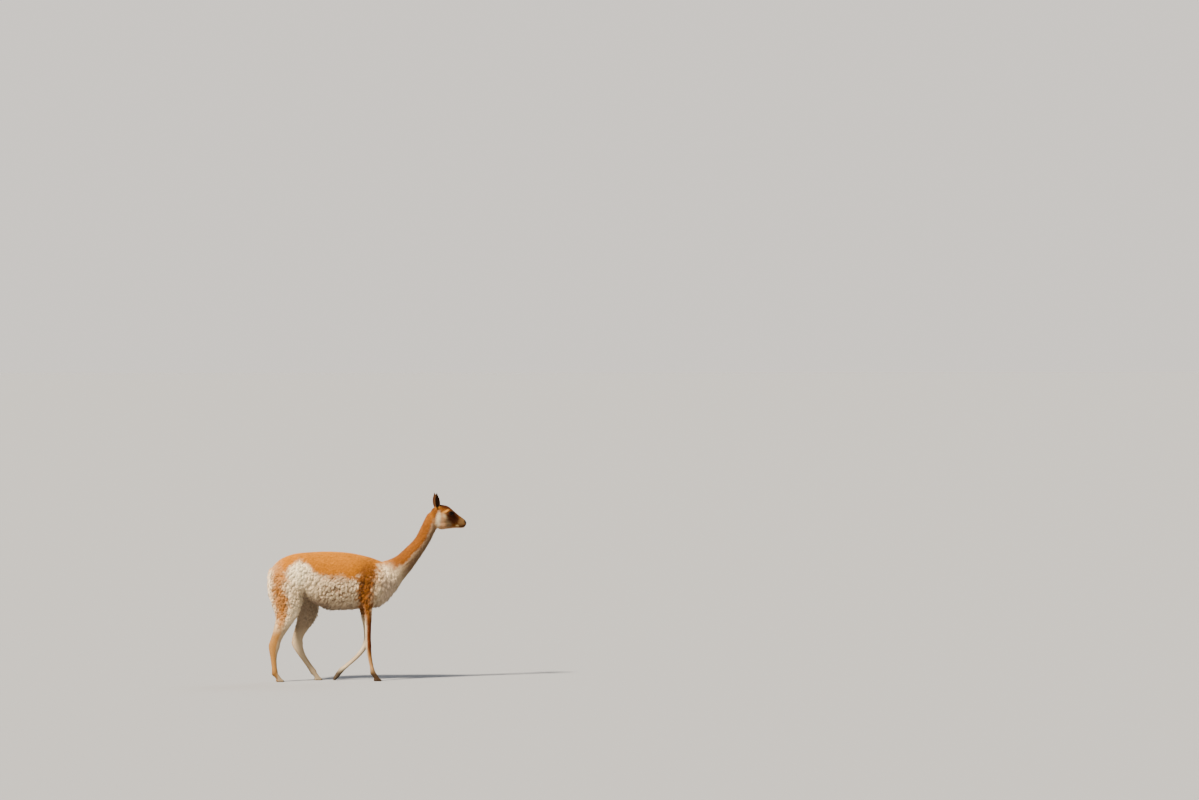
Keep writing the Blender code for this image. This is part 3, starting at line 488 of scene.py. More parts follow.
forms = [loft("skull", head_rings(), 56)]
for x, y, z, long, wide, high, pitch in HEAD_FORMS:
    forms += [ball("form", (x, side * y, z), (long, wide, high), turn_about("Y", pitch)) for side in (-1, 1)]
for side in (-1, 1):
    forms.append(ball("lid", (EYE[0], side * EYE[1], EYE[2]), (EYE_RADIUS + LID_THICKNESS,) * 3, detail=(48, 32)))
forms = [head_placed(form) for form in forms] + [loft("neck_top", middle_rings(NECK[5:], 3), 40)]
head = fused("head", forms, HEAD_GRAIN, 24, 0.8)
x, z, height = LIP_CLEFT
tools = [mouth_cutter(), head_placed(ball("cleft", (x + 0.003, 0, z), (0.005, 0.0016, height)))]
for side in (-1, 1):
    tools.append(ball("socket", head_point(EYE, side), (EYE_RADIUS + 0.0003,) * 3, detail=(64, 40)))
    tools.append(lid_cutter(side))
    x, y, z = NOSTRIL
    turn = turn_about("Y", -38) @ turn_about("Z", side * -30)
    tools.append(head_placed(ball("nostril", (x, side * (y + 0.0035), z), NOSTRIL_SIZE, turn)))
cut(head, tools)
cut(head, [ear(side) for side in (-1, 1)], "UNION")


def all_parts(mesh):
    return mesh.verts[:] + mesh.edges[:] + mesh.faces[:]


def sheared(mesh, point, normal, keep):
    """Cuts a mesh at a plane, drops the side away from keep, and leaves the cut open."""
    bmesh.ops.bisect_plane(mesh, geom=all_parts(mesh), dist=1e-6, plane_co=point, plane_no=normal,
                           clear_outer=keep < 0, clear_inner=keep > 0)
    bmesh.ops.remove_doubles(mesh, verts=mesh.verts, dist=1e-5)


def bridged(mesh, rims, is_near):
    """Joins the two open rims that lie where is_near says."""
    picked = [edge for edge in rims if is_near((edge.verts[0].co + edge.verts[1].co) / 2)]
    bmesh.ops.bridge_loops(mesh, edges=picked)


HALF_JOINT = 0.002
SEAM_REACH = 0.006
nape, nape_normal = Vector((NAPE[0], 0, NAPE[1])), Vector((NAPE_NORMAL[0], 0, NAPE_NORMAL[1]))
ankle, upwards = Vector((0, 0, ANKLE_HEIGHT)), Vector((0, 0, 1))
hide_mesh = bmesh.new()
hide_mesh.from_mesh(body.data)
sheared(hide_mesh, nape - nape_normal * HALF_JOINT, nape_normal, -1)
sheared(hide_mesh, ankle + upwards * HALF_JOINT, upwards, 1)
for finer, point, normal in ((head, nape + nape_normal * HALF_JOINT, nape_normal),
                             (feet, ankle - upwards * HALF_JOINT, -upwards)):
    piece = bmesh.new()
    piece.from_mesh(finer.data)
    sheared(piece, point, normal, 1)
    piece.to_mesh(finer.data)
    piece.free()
    hide_mesh.from_mesh(finer.data)
for thing in (body, head, feet):
    bpy.data.objects.remove(thing)
rims = [edge for edge in hide_mesh.edges if edge.is_boundary]
bridged(hide_mesh, rims, lambda middle: middle.z > 1)
for name in LEGS:
    x, y, _ = between(LEGS[name][:4], 2.85)
    bridged(hide_mesh, rims, lambda middle: middle.z < 0.2 and abs(middle.x - x) < 0.07 and abs(middle.y - y) < 0.06)
seam = [vertex for vertex in hide_mesh.verts if abs((vertex.co - nape).dot(nape_normal)) < SEAM_REACH
        or abs(vertex.co.z - ANKLE_HEIGHT) < SEAM_REACH]
for _ in range(6):
    bmesh.ops.smooth_vert(hide_mesh, verts=seam, factor=0.5, use_axis_x=True, use_axis_y=True, use_axis_z=True)
bmesh.ops.triangulate(hide_mesh, faces=hide_mesh.faces)
hide = finish_mesh("hide", hide_mesh)


# The markings of a vicuna: rust and tan above, cream below, rust on the shoulder, a dark face with a
# cream cheek and a golden muzzle. One rule colours the hide and every tuft that grows from it.
# Several of these colours are painted shade: the greyed chest white, the grey-brown throat, the grey-brown under the
# belly and on the inner hind legs (partly brown underwool on the front flank), the brown in the gaps of the wool
# (partly underwool) and the dark inside the ear cups.
RUST, TAN, BACK_TAN, CREAM, CHEST_WHITE_IN_SHADE = "#704218", "#AC690C", "#C0780C", "#EAD3AE", "#C4AE94"
NECK_ORANGE, THROAT_SHADE, LEG_FAWN, LEG_WHITE = "#8B531C", "#84694E", "#9A6E3A", "#CCBC9E"
HIP_WHITE, FORE_BROWN, FOOT_DARK, SHADE_AND_UNDERWOOL_BROWN = "#FFF0CC", "#5E2E10", "#2A1D13", "#7A6452"
GAP_UNDERWOOL_AND_SHADE, FACE_OCHRE, FACE_DARK, CROWN, CHEEK = "#643814", "#6E4014", "#3C1C0A", "#401E08", "#BC9068"
BROW, CHEEK_GREY, CHEEK_STREAK, CHEEK_WHITE = "#BC8440", "#7C6448", "#C4AB82", "#DCCFB0"
MUZZLE_GOLD, BARE_DARK, LIP_PALE = "#6C5030", "#1A0F09", "#B89C6C"
EAR_CUP_SHADE_AND_DARK_TIP, EAR_BACK, EAR_RIM = "#342014", "#3E2414", "#75522A"
HIND_PART = -0.26
HANGING = (-0.15, 0, -1)
TAN_EDGE = np.array((
    (-0.76, 0.8), (-0.6, 0.8), (-0.556, 0.84), (-0.517, 0.876), (-0.495, 0.893), (-0.47, 0.886),
    (-0.452, 0.872), (-0.4, 0.815), (-0.343, 0.776), (-0.234, 0.765), (-0.125, 0.75), (-0.085, 0.75),
    (-0.045, 0.772), (0.05, 0.81), (0.085, 0.845), (0.11, 0.85), (0.23, 0.88), (0.31, 0.9)))
THROAT_EDGE = np.array((
    (0.8, -0.15), (0.87, 0.05), (0.95, 0.22), (1.05, 0.28), (1.12, 0.15), (1.18, 0.0)))
SHOULDER_BAND = np.array((
    (0.38, -0.012, 0.038), (0.44, -0.015, 0.036), (0.5, -0.035, 0.034), (0.547, -0.053, 0.03),
    (0.62, -0.062, 0.034), (0.7, -0.068, 0.048), (0.8, -0.066, 0.056), (0.88, -0.05, 0.06)))
THIGH_BAND = np.array((
    (0.38, -0.65, -0.625), (0.45, -0.657, -0.595), (0.52, -0.67, -0.572), (0.6, -0.68, -0.582),
    (0.7, -0.682, -0.597), (0.8, -0.69, -0.59), (0.87, -0.705, -0.52)))
HEAD_MARKS = (
    (CHEEK, 0.54, 1.155, 0.046, 0.056, 15, 0.35),
    (CHEEK_GREY, 0.584, 1.14, 0.024, 0.036, -20, 0.6),
    (CHEEK_STREAK, 0.563, 1.188, 0.022, 0.01, 40, 0.7),
    (CHEEK_WHITE, 0.512, 1.154, 0.016, 0.056, 4, 0.65),
    (FACE_DARK, 0.617, 1.183, 0.06, 0.04, 44, 0.35),
    (MUZZLE_GOLD, 0.684, 1.15, 0.025, 0.036, 25, 0.4),
    (CROWN, 0.57, 1.264, 0.074, 0.022, 13, 0.4),
    (BROW, 0.562, 1.224, 0.026, 0.0075, -24, 0.45),
    (LIP_PALE, 0.651, 1.119, 0.011, 0.0065, 8, 0.6),
)
neck_line = np.array(smoothed(NECK, 6))
leg_lines = {name: np.array([between(LEGS[name][:4], place / 8) for place in range(25)]) for name in LEGS}


def veil(values, low, high):
    """A soft step from 0 at low to 1 at high."""
    share = np.clip((values - low) / (high - low), 0, 1)
    return share * share * (3 - 2 * share)


def row_at(rows, values, column=1):
    """The value in a column of a table, at places along its first column."""
    return np.interp(values, rows[:, 0], rows[:, column])


def ripple(points, size, seed):
    """Smooth noise from about -1 to 1, with swells of about the size given."""
    draw = np.random.default_rng(seed)
    total = np.zeros(len(points))
    for _ in range(8):
        aim = draw.normal(size=3)
        wave = 2 * math.pi / size * draw.uniform(0.6, 1.5)
        total += np.sin(points @ (aim / np.linalg.norm(aim)) * wave + draw.uniform(0, 6.28))
    return total / 4


def along_line(points, line):
    """For each point, the nearest row of a line, its direction and the way out from it, seen from the side."""
    gaps = points[:, None, (0, 2)] - line[None, :, (0, 2)]
    nearest = np.argmin((gaps**2).sum(2), 1)
    runs = np.gradient(line[:, (0, 2)], axis=0)[nearest]
    runs /= np.linalg.norm(runs, axis=1)[:, None]
    return nearest, runs, gaps[np.arange(len(points)), nearest]


def in_side_view(runs):
    """Directions in the side view as directions in space."""
    return np.stack((runs[:, 0], runs[:, 0] * 0, runs[:, 1]), 1)


def throat_share(points):
    """Where a point lies across the neck, from -1 on its crest to 1 at the throat, and the way up the neck."""
    nearest, runs, gaps = along_line(points, in_side_view(neck_line))
    return (gaps[:, 0] * runs[:, 1] - gaps[:, 1] * runs[:, 0]) / neck_line[nearest, 2], runs


def leg_shares(points):
    """How far each point lies to the outer side and to the front of its nearest leg, the way down that leg,
    and the nearest place on its middle line."""
    best = np.full(len(points), 9.0)
    outer, front = np.zeros((2, len(points)))
    down, middle = np.zeros((2, len(points), 3))
    for name, line in leg_lines.items():
        nearest, runs, gaps = along_line(points, line)
        side = points[:, 1] - line[nearest, 1]
        reach = np.hypot(np.hypot(gaps[:, 0], gaps[:, 1]), side)
        nearer = reach < best
        best[nearer] = reach[nearer]
        sign = -1 if name.endswith("right") else 1
        outer[nearer] = (side * sign / 0.022)[nearer]
        front[nearer] = ((gaps[:, 0] * -runs[:, 1] + gaps[:, 1] * runs[:, 0]) / 0.024)[nearer]
        down[nearer], middle[nearer] = in_side_view(runs)[nearer], line[nearest][nearer]
    return outer, front, down, middle


def straightened(points):
    """Points of the turned head as they lie on the straight one."""
    x, y = points[:, 0] - HEAD_HINGE, points[:, 1]
    cos, sin = math.cos(HEAD_TURN), math.sin(HEAD_TURN)
    return np.stack(((x * cos + y * sin) / HEAD_STRETCH + HEAD_HINGE, y * cos - x * sin, points[:, 2]), 1)


def ear_shares(points):
    """How far up an ear a point lies, how near its axis, and the way its cup opens."""
    up, near, aim = np.full(len(points), -1.0), np.full(len(points), 9.0), np.zeros((len(points), 3))
    for side in (-1, 1):
        root, tip, opening = (np.array(part) for part in ear_axes(side))
        share = (points - root) @ (tip - root) / ((tip - root) @ (tip - root))
        gap = points - root - share[:, None] * (tip - root)
        reach = np.linalg.norm(gap, axis=1)
        nearer = reach < near
        up[nearer], near[nearer], aim[nearer] = share[nearer], reach[nearer], opening
    return up, near, aim


def past(points, place, normal):
    """How far points lie beyond a plane that is square to the side view."""
    return (points[:, 0] - place[0]) * normal[0] + (points[:, 2] - place[1]) * normal[1]


def zones(points):
    """How much each point belongs to each zone of the coat."""
    x, y, height = points.T
    head = veil(past(points, NAPE, NAPE_NORMAL), -0.024, 0.024)
    up, near, _ = ear_shares(points)
    ear = veil(up, 0.02, 0.14) * veil(-near, -0.028, -0.022)
    neck = veil(past(points, NECK_BASE, NECK_BASE_NORMAL), -0.05, 0.05) * (1 - head)
    leg = 1 - np.where(x < HIND_PART, veil(height, 0.33, 0.46), veil(height, 0.4, 0.5))
    tail = veil(-x, 0.672, 0.688) * (np.abs(y) < 0.04) * veil(height, 0.57, 0.6)
    back = veil(height - np.maximum(row_at(TAN_EDGE, x), 0.73), -0.03, 0.05) * (1 - head) * (1 - neck)
    return {"head": head * (1 - ear), "ear": ear, "neck": neck, "leg": leg, "tail": tail, "back": back,
            "foot": 1 - veil(height, 0.045, 0.11), "fleece": (1 - back) * (1 - head) * (1 - neck) * (1 - leg)}


def eye_gaps(points, side):
    """How far points lie from the middle of an eye: forward along its lids, out of the socket, and up."""
    gap = points - np.array(head_point(EYE, side))
    return [gap @ np.array(axis) for axis in eye_aim(side)]


def bare_share(points):
    """How bare the skin is at each point: bare at the nose, along the lips and on the rims of the lids."""
    straight, soft = straightened(points), ripple(points, 0.012, 5) * 0.1
    bare = np.zeros(len(points))
    for x, y, height, size in ((NOSTRIL[0] + 0.004, NOSTRIL[1] + 0.001, NOSTRIL[2], 0.016),
                               (LIP_CLEFT[0], 0.0, LIP_CLEFT[1] + 0.004, 0.021),
                               (LIP_CLEFT[0] - 0.01, 0.008, LIP_CLEFT[1] - 0.014, 0.015)):
        reach = np.linalg.norm(np.abs(straight) - (x, y, height), axis=1) / size
        bare = np.maximum(bare, 1 - veil(reach + soft, 0.6, 1.15))
    lip = np.abs(straight[:, 2] - row_at(np.array(smoothed(MOUTH, 4))[::-1], straight[:, 0]))
    bare = np.maximum(bare, (1 - veil(lip, 0.0018, 0.005)) * veil(straight[:, 0], 0.655, 0.69) * 0.9)
    for side in (-1, 1):
        ahead, out, up = eye_gaps(points, side)
        reach = np.hypot(ahead / LID_OPENING[0], up / LID_OPENING[1])
        bare = np.maximum(bare, 1 - veil(np.where(out > 0.004, reach, 9), 0.92, 1.1))
    return bare


def flank_underwool_and_shade(points):
    """How much brown underwool and painted shade show on the flank: most on its front half."""
    along = veil(-np.abs(points[:, 0] + 0.19), -0.23, -0.08)
    return along * veil(-np.abs(points[:, 2] - 0.68), -0.13, -0.07)


def toward(rows, goal, share):
    """Rows carried towards others by a share of the way."""
    return rows + (goal - rows) * share[:, None]


def laid(colours, *layers):
    """Colours with others laid over them, each with how much it covers every point."""
    for code, share in layers:
        colours = toward(colours, np.array(linear(code)), np.clip(share, 0, 1))
    return colours


def markings_and_shade(points, normals):
    """The colour of the coat at each point, with shade painted in under the belly, on the inner hind legs, the throat,
    the lower chest and inside the ear cups.
    """
    x, y, height = points.T
    wander = ripple(points, 0.09, 1) * 0.014 + ripple(points, 0.03, 2) * 0.012 + ripple(points, 0.012, 6) * 0.005
    mottle = veil(ripple(points, 0.028, 7), -0.3, 0.9)
    soft = ripple(points, 0.012, 5) * 0.1
    z = zones(points)
    outer, front, _, _ = leg_shares(points)
    hind, inner = x < HIND_PART, veil(-outer, -0.1, 0.8)

    def plain(code):
        return np.tile(linear(code), (len(points), 1))

    def band(rows):
        """How far a point lies inside a band that runs down the body."""
        inside = np.minimum(x - row_at(rows, height), row_at(rows, height, 2) - x) + wander
        return veil(inside, -0.026, 0.026) * veil(height, rows[0, 0] - 0.04, rows[0, 0] + 0.05)

    above = veil(height + wander - row_at(TAN_EDGE, x), -0.034, 0.026)
    thigh, shoulder, high = band(THIGH_BAND), band(SHOULDER_BAND), veil(height, 0.8, 0.92)
    low_thigh = thigh * (1 - veil(height, 0.74, 0.86))
    hip = np.hypot((x + 0.5) / 0.09, (height - 0.8) / 0.11)
    breast = veil(x, 0.045, 0.07) * (1 - veil(x, 0.09, 0.125)) * veil(height, 0.66, 0.74)
    colours = laid(
        plain(CREAM),
        # Painted shade: surfaces that face downwards, under the belly and chest, are painted grey-brown.
        (SHADE_AND_UNDERWOOL_BROWN, veil(-normals[:, 2], 0.2, 0.9) * 0.8),
        # Brown underwool on the front of the flank, partly painted shade as well.
        (SHADE_AND_UNDERWOOL_BROWN, flank_underwool_and_shade(points) * (0.1 + 0.55 * mottle)),
        # The white wool of the lower chest is painted greyer, as shade.
        (CHEST_WHITE_IN_SHADE, veil(x, 0.07, 0.12) * (1 - veil(height, 0.72, 0.8))),
        (HIP_WHITE, 1 - veil(hip, 0.4, 1.2)),
        (TAN, np.maximum(np.maximum(above, thigh), shoulder)),
        (BACK_TAN, above * high),
        (RUST, shoulder * (1 - high) * 0.9),
        (CREAM, above * veil(-x, 0.58, 0.69) * (0.26 + 0.2 * mottle)),
        (RUST, low_thigh * (0.15 + 0.5 * mottle)),
        (CREAM, low_thigh * (0.14 - 0.14 * mottle)),
        (TAN, breast * (0.15 + 0.55 * mottle)),
        # Painted shade: the inner side of the hind thighs is painted darker low down, where the body's shadow falls.
        (SHADE_AND_UNDERWOOL_BROWN, inner * hind * veil(-height, -0.66, -0.54) * 0.75))
    hind_leg = laid(
        plain(LEG_FAWN),
        (LEG_WHITE, np.maximum(inner * 0.7, veil(front, 0.3, 1.0) * 0.6)),
        # Painted shade: the inner side of the hind legs is painted darker up to the fleece.
        (SHADE_AND_UNDERWOOL_BROWN, inner * veil(height, 0.2, 0.46) * 0.6))
    fore_leg = laid(
        plain(LEG_WHITE),
        (FORE_BROWN, veil(front, -0.9, -0.1) * (1 - inner * 0.75) * veil(height, 0.06, 0.2)),
        (LEG_FAWN, (1 - veil(height, 0.14, 0.26)) * (1 - inner) * 0.8))
    colours = toward(colours, np.where(hind[:, None], hind_leg, fore_leg), z["leg"])
    colours = laid(colours, (FOOT_DARK, z["foot"] * np.where(hind, 0.5, 0.93)))
    pale = throat_share(points)[0] + ripple(points, 0.03, 4) * 0.1 - row_at(THROAT_EDGE, height)
    pale = veil(pale, -0.18, 0.22)
    # The cream underside of the upper neck is painted grey-brown, as shade.
    neck = laid(plain(NECK_ORANGE), (CREAM, pale), (THROAT_SHADE, pale * veil(x, 0.17, 0.32)))
    colours = toward(colours, neck, z["neck"])
    colours = laid(colours, (CREAM, z["tail"] * veil(np.abs(y) + 0.012, 0.028, 0.04)))
    straight = straightened(points)
    face = laid(plain(FACE_OCHRE), (CHEEK, veil(-normals[:, 2], 0.45, 0.9)))
    for code, mark_x, mark_z, long, tall, slope, softness in HEAD_MARKS:
        cos, sin = math.cos(math.radians(slope)), math.sin(math.radians(slope))
        ahead, over = straight[:, 0] - mark_x, straight[:, 2] - mark_z
        reach = np.hypot((ahead * cos - over * sin) / long, (over * cos + ahead * sin) / tall) + soft
        face = laid(face, (code, 1 - veil(reach, 1 - softness, 1 + softness)))
    colours = toward(colours, laid(face, (BARE_DARK, bare_share(points))), z["head"])
    up, _, aim = ear_shares(points)
    inside = (normals * aim).sum(1)
    ears = laid(
        plain(EAR_BACK),
        (EAR_RIM, veil(inside, -0.75, -0.15)),
        # Painted shade inside the ear cup; on the next line, a darker ear tip.
        (EAR_CUP_SHADE_AND_DARK_TIP, veil(inside, 0.0, 0.35) * veil(up, 0.04, 0.16)),
        (EAR_CUP_SHADE_AND_DARK_TIP, veil(up, 0.86, 1.0) * 0.7))
    return toward(colours, ears, z["ear"])


def coat_depth(points):
    """How deep the hide lies below the tips of the coat."""
    z = zones(points)
    face = 0.0012 + 0.003 * veil(-straightened(points)[:, 0], -0.6, -0.5)
    depth = 0.0085 * z["back"] + 0.0075 * z["neck"] + 0.0045 * z["fleece"] + face * z["head"] + 0.0004 * z["ear"]
    for depth_there, zone in ((0.0026, "leg"), (0.001, "foot")):
        depth = depth * (1 - z[zone]) + depth_there * z[zone]
    return depth


def point_values(data, field):
    values = np.empty(len(data.vertices) * 3)
    data.vertices.foreach_get(field, values)
    return values.reshape(-1, 3)


def mesh_numbers(data):
    """The places and normals of a mesh's points, and the points of its triangles."""
    corners = np.empty(len(data.loops), int)
    data.loops.foreach_get("vertex_index", corners)
    return point_values(data, "co"), point_values(data, "normal"), corners.reshape(-1, 3)


GROUND = -SHIFT.z
places, normals, corners = mesh_numbers(hide.data)
places = places - normals * coat_depth(places)[:, None]
places[:, 2] = np.maximum(places[:, 2], GROUND)
hide.data.vertices.foreach_set("co", places.ravel())
hide.data.update()
bpy.context.view_layer.objects.active = hide
hide.select_set(True)
bpy.ops.object.mode_set(mode="EDIT")
bpy.ops.mesh.select_all(action="SELECT")
bpy.ops.uv.smart_project(angle_limit=math.radians(66), island_margin=0.001)
bpy.ops.object.mode_set(mode="OBJECT")
hide.data.uv_layers[0].name = "OFBake"
places, normals, corners = mesh_numbers(hide.data)
face_map = np.empty(len(hide.data.loops) * 2)
hide.data.uv_layers[0].data.foreach_get("uv", face_map)
face_map = face_map.reshape(-1, 3, 2)
face_area = np.linalg.norm(np.cross(places[corners[:, 1]] - places[corners[:, 0]],
                                    places[corners[:, 2]] - places[corners[:, 0]]), axis=1) / 2
face_middle = places[corners].mean(1)
face_zones = zones(face_middle)


def stored(data, name, kind, field, values):
    """Keeps values at the points of a mesh, so that its material can read them by name."""
    layer = data.attributes.new(name, kind, "POINT")
    layer.data.foreach_set(field, values.astype(np.float32).ravel())


def coloured(data, colours):
    stored(data, "coat_colour", "FLOAT_COLOR", "color", np.concatenate((colours, np.ones((len(colours), 1))), 1))


def placed(thing, surface):
    """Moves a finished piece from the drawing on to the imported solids, and gives it its finish and body."""
    thing.data.transform(Matrix.Translation(SHIFT))
    thing.data.polygons.foreach_set("use_smooth", [True] * len(thing.data.polygons))
    thing.data.materials.clear()
    thing.data.materials.append(surface)
    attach(thing, "root")
    return thing


def unit(vectors):
    return vectors / np.maximum(np.linalg.norm(vectors, axis=1), 1e-9)[:, None]


def dotted(first, second):
    return (first * second).sum(1)[:, None]


def lie_of(points, out):
    """The way the hair lies at each point, flat on the hide, and how much of it is free to lie so."""
    z = zones(points)
    up = np.array(EAR_TIP) - np.array(EAR_ROOT)
    lie = np.tile((-0.62, 0.0, -0.78), (len(points), 1))
    for goal, share in (
            (HANGING, veil(points[:, 0], 0.06, 0.14) * (1 - z["neck"]) * (1 - z["head"])),
            (leg_shares(points)[2], np.maximum(z["leg"], veil(-points[:, 2], -0.52, -0.42) * 0.6)),
            (-in_side_view(throat_share(points)[1]), z["neck"]),
            (HANGING, z["tail"]),
            ((-math.cos(HEAD_TURN), -math.sin(HEAD_TURN), -0.16), z["head"]),
            (up / np.linalg.norm(up), z["ear"])):
        lie = toward(lie, np.array(goal), share)
    flat = lie - out * dotted(lie, out)
    return unit(flat), veil(np.linalg.norm(flat, axis=1), 0.15, 0.75)


# The hide's surface is short dense hair over skin: matt, finely ribbed where the hairs part, and bare,
# dark and slightly moist at the nose, the lips and the rims of the lids.
def read(surface, name, output="Color"):
    return add_node(surface, "ShaderNodeAttribute", {"attribute_name": name}).outputs[output]


def noise(surface, place, scale, detail):
    values = {"Scale": scale, "Detail": detail}
    return add_node(surface, "ShaderNodeTexNoise", values=values, links={"Vector": place}).outputs["Fac"]


def toned(surface, colour, tone):
    links = {0: colour, "Scale": tone}
    return add_node(surface, "ShaderNodeVectorMath", {"operation": "SCALE"}, links=links).outputs["Vector"]


def bumped(surface, height, strength, distance, under=None):
    """The normal over a bump, on another bump if there is one."""
    links = {"Height": height, "Normal": under} if under else {"Height": height}
    values = {"Strength": strength, "Distance": distance}
    return add_node(surface, "ShaderNodeBump", values=values, links=links).outputs["Normal"]


def object_place(surface):
    return add_node(surface, "ShaderNodeTexCoord").outputs["Object"]


HAIRS_A_METRE = 1100
hide_skin, hide_shader = new_material("short dense hair on hide")
grain = noise(hide_skin, read(hide_skin, "strand", "Vector"), 1.0, 3)
tufts = noise(hide_skin, object_place(hide_skin), 90, 2)
bare = read(hide_skin, "bare", "Fac")
fill_node(hide_skin, hide_shader, links={
    "Base Color": toned(hide_skin, read(hide_skin, "coat_colour"), mapped(hide_skin, grain, 0.7, 1.16, 0.3, 0.7)),
    "Normal": bumped(hide_skin, tufts, 0.5, 0.003, bumped(hide_skin, grain, 0.7, 0.0008)),
    "Roughness": mapped(hide_skin, bare, 0.9, 0.62),
    "Specular IOR Level": mapped(hide_skin, bare, 0.06, 0.13)})
hide_zones = zones(places)
# The hide is painted darker than the coat that grows from it, as shade under the hair.
coloured(hide.data, markings_and_shade(places, normals) * 0.85)
stored(hide.data, "bare", "FLOAT", "value", bare_share(places) * hide_zones["head"])
combed = places - (0.58, 0, 1.17) * hide_zones["head"][:, None]
combed -= leg_shares(places)[3] * hide_zones["leg"][:, None]
lie, _ = lie_of(places, normals)
combed -= lie * 0.88 * dotted(combed, lie)
stored(hide.data, "strand", "FLOAT_VECTOR", "vector", combed * HAIRS_A_METRE)
placed(hide, hide_skin)
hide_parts(*[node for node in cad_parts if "eye" not in node and "nail" not in node])

# The coat grows from the hide in small solid locks. Each is rooted under the skin, lies along the body
# and tapers to its tip. Locks gather in clumps of wool, which stand up as low mounds with gaps between.
TUFT_PATCH = 0.003
LINE_WIDTH = 0.0007
RING_WIDTHS = (1.0, 0.8, 0.62)
corner_places, corner_normals = places[corners], normals[corners]


def scatter(pick, count, draw):
    """Roots spread evenly over the picked part of the hide: places, normals and places on its map."""
    share = np.cumsum(face_area * pick)
    picked = np.searchsorted(share, (np.arange(count) + draw.random(count)) / count * share[-1])
    picked = np.minimum(picked, len(face_area) - 1)
    u, v = draw.random(count), draw.random(count)
    over = u + v > 1
    u[over], v[over] = 1 - u[over], 1 - v[over]
    weight = np.stack((1 - u - v, u, v), 1)[..., None]
    return ((corner_places[picked] * weight).sum(1), unit((corner_normals[picked] * weight).sum(1)),
            (face_map[picked] * weight).sum(1))


def lock_mesh(name, rows, across, over, facing, widths, thicks, colours, map_places):
    """Closed three-sided locks: rows of points along them, of which the last is the tip. Light falls on a
    lock as on the soft clump that it belongs to, so its normals lie near the way the clump faces."""
    count, rings = len(across), len(rows) - 1
    for row in rows:
        row[:, 2] = np.maximum(row[:, 2], GROUND + widths * 0.5)
    parts, tints, patch, strand, turns = [], [], [], [], []
    offset = np.random.default_rng(len(name)).uniform(0, 50, count)

    def add_point(place, turn, side, index):
        parts.append(place)
        turns.append(turn)
        patch.append((side * 0.5, index / rings - 0.5))
        tints.append(index / rings)
        strand.append(np.stack((side * widths / LINE_WIDTH * 0.5 + offset, np.full(count, index * 1.3), offset), 1))

    for index in range(rings):
        for side, lift in ((-1, -0.35), (0, 0.65), (1, -0.35)):
            wide = widths * side * 0.5 * RING_WIDTHS[index]
            add_point(rows[index] + across * wide[:, None] + over * (thicks * lift)[:, None],
                      facing + across * side * 0.45, side, index)
    add_point(rows[-1], facing, 0, rings)
    per = 3 * rings + 1
    faces = [(0, 1, 2)]
    for index in range(rings):
        for a, b in ((0, 1), (1, 2), (2, 0)):
            a, b = index * 3 + a, index * 3 + b
            faces += [(a, a + 3, b + 3), (a, b + 3, b)] if index < rings - 1 else [(a, per - 1, b)]
    faces = (np.array(faces)[None] + (np.arange(count) * per)[:, None, None]).reshape(-1)
    data = bpy.data.meshes.new(name)
    data.vertices.add(count * per)
    data.vertices.foreach_set("co", np.stack(parts, 1).astype(np.float32).ravel())
    data.loops.add(len(faces))
    data.loops.foreach_set("vertex_index", faces.astype(np.int32))
    data.polygons.add(len(faces) // 3)
    data.polygons.foreach_set("loop_start", np.arange(0, len(faces), 3, dtype=np.int32))
    data.update(calc_edges=True)
    data.normals_split_custom_set_from_vertices(unit(np.stack(turns, 1).reshape(-1, 3)))
    root, tip = colours
    tints = np.array(tints)[None, :, None]
    coloured(data, (root[:, None] * (1 - tints) + tip[:, None] * tints).reshape(-1, 3))
    stored(data, "strand", "FLOAT_VECTOR", "vector", np.stack(strand, 1))
    spots = map_places[:, None] + np.array(patch)[None] * TUFT_PATCH
    data.uv_layers.new(name="OFBake").data.foreach_set("uv", spots.reshape(-1, 2)[faces].astype(np.float32).ravel())
    return new_object(name, data)


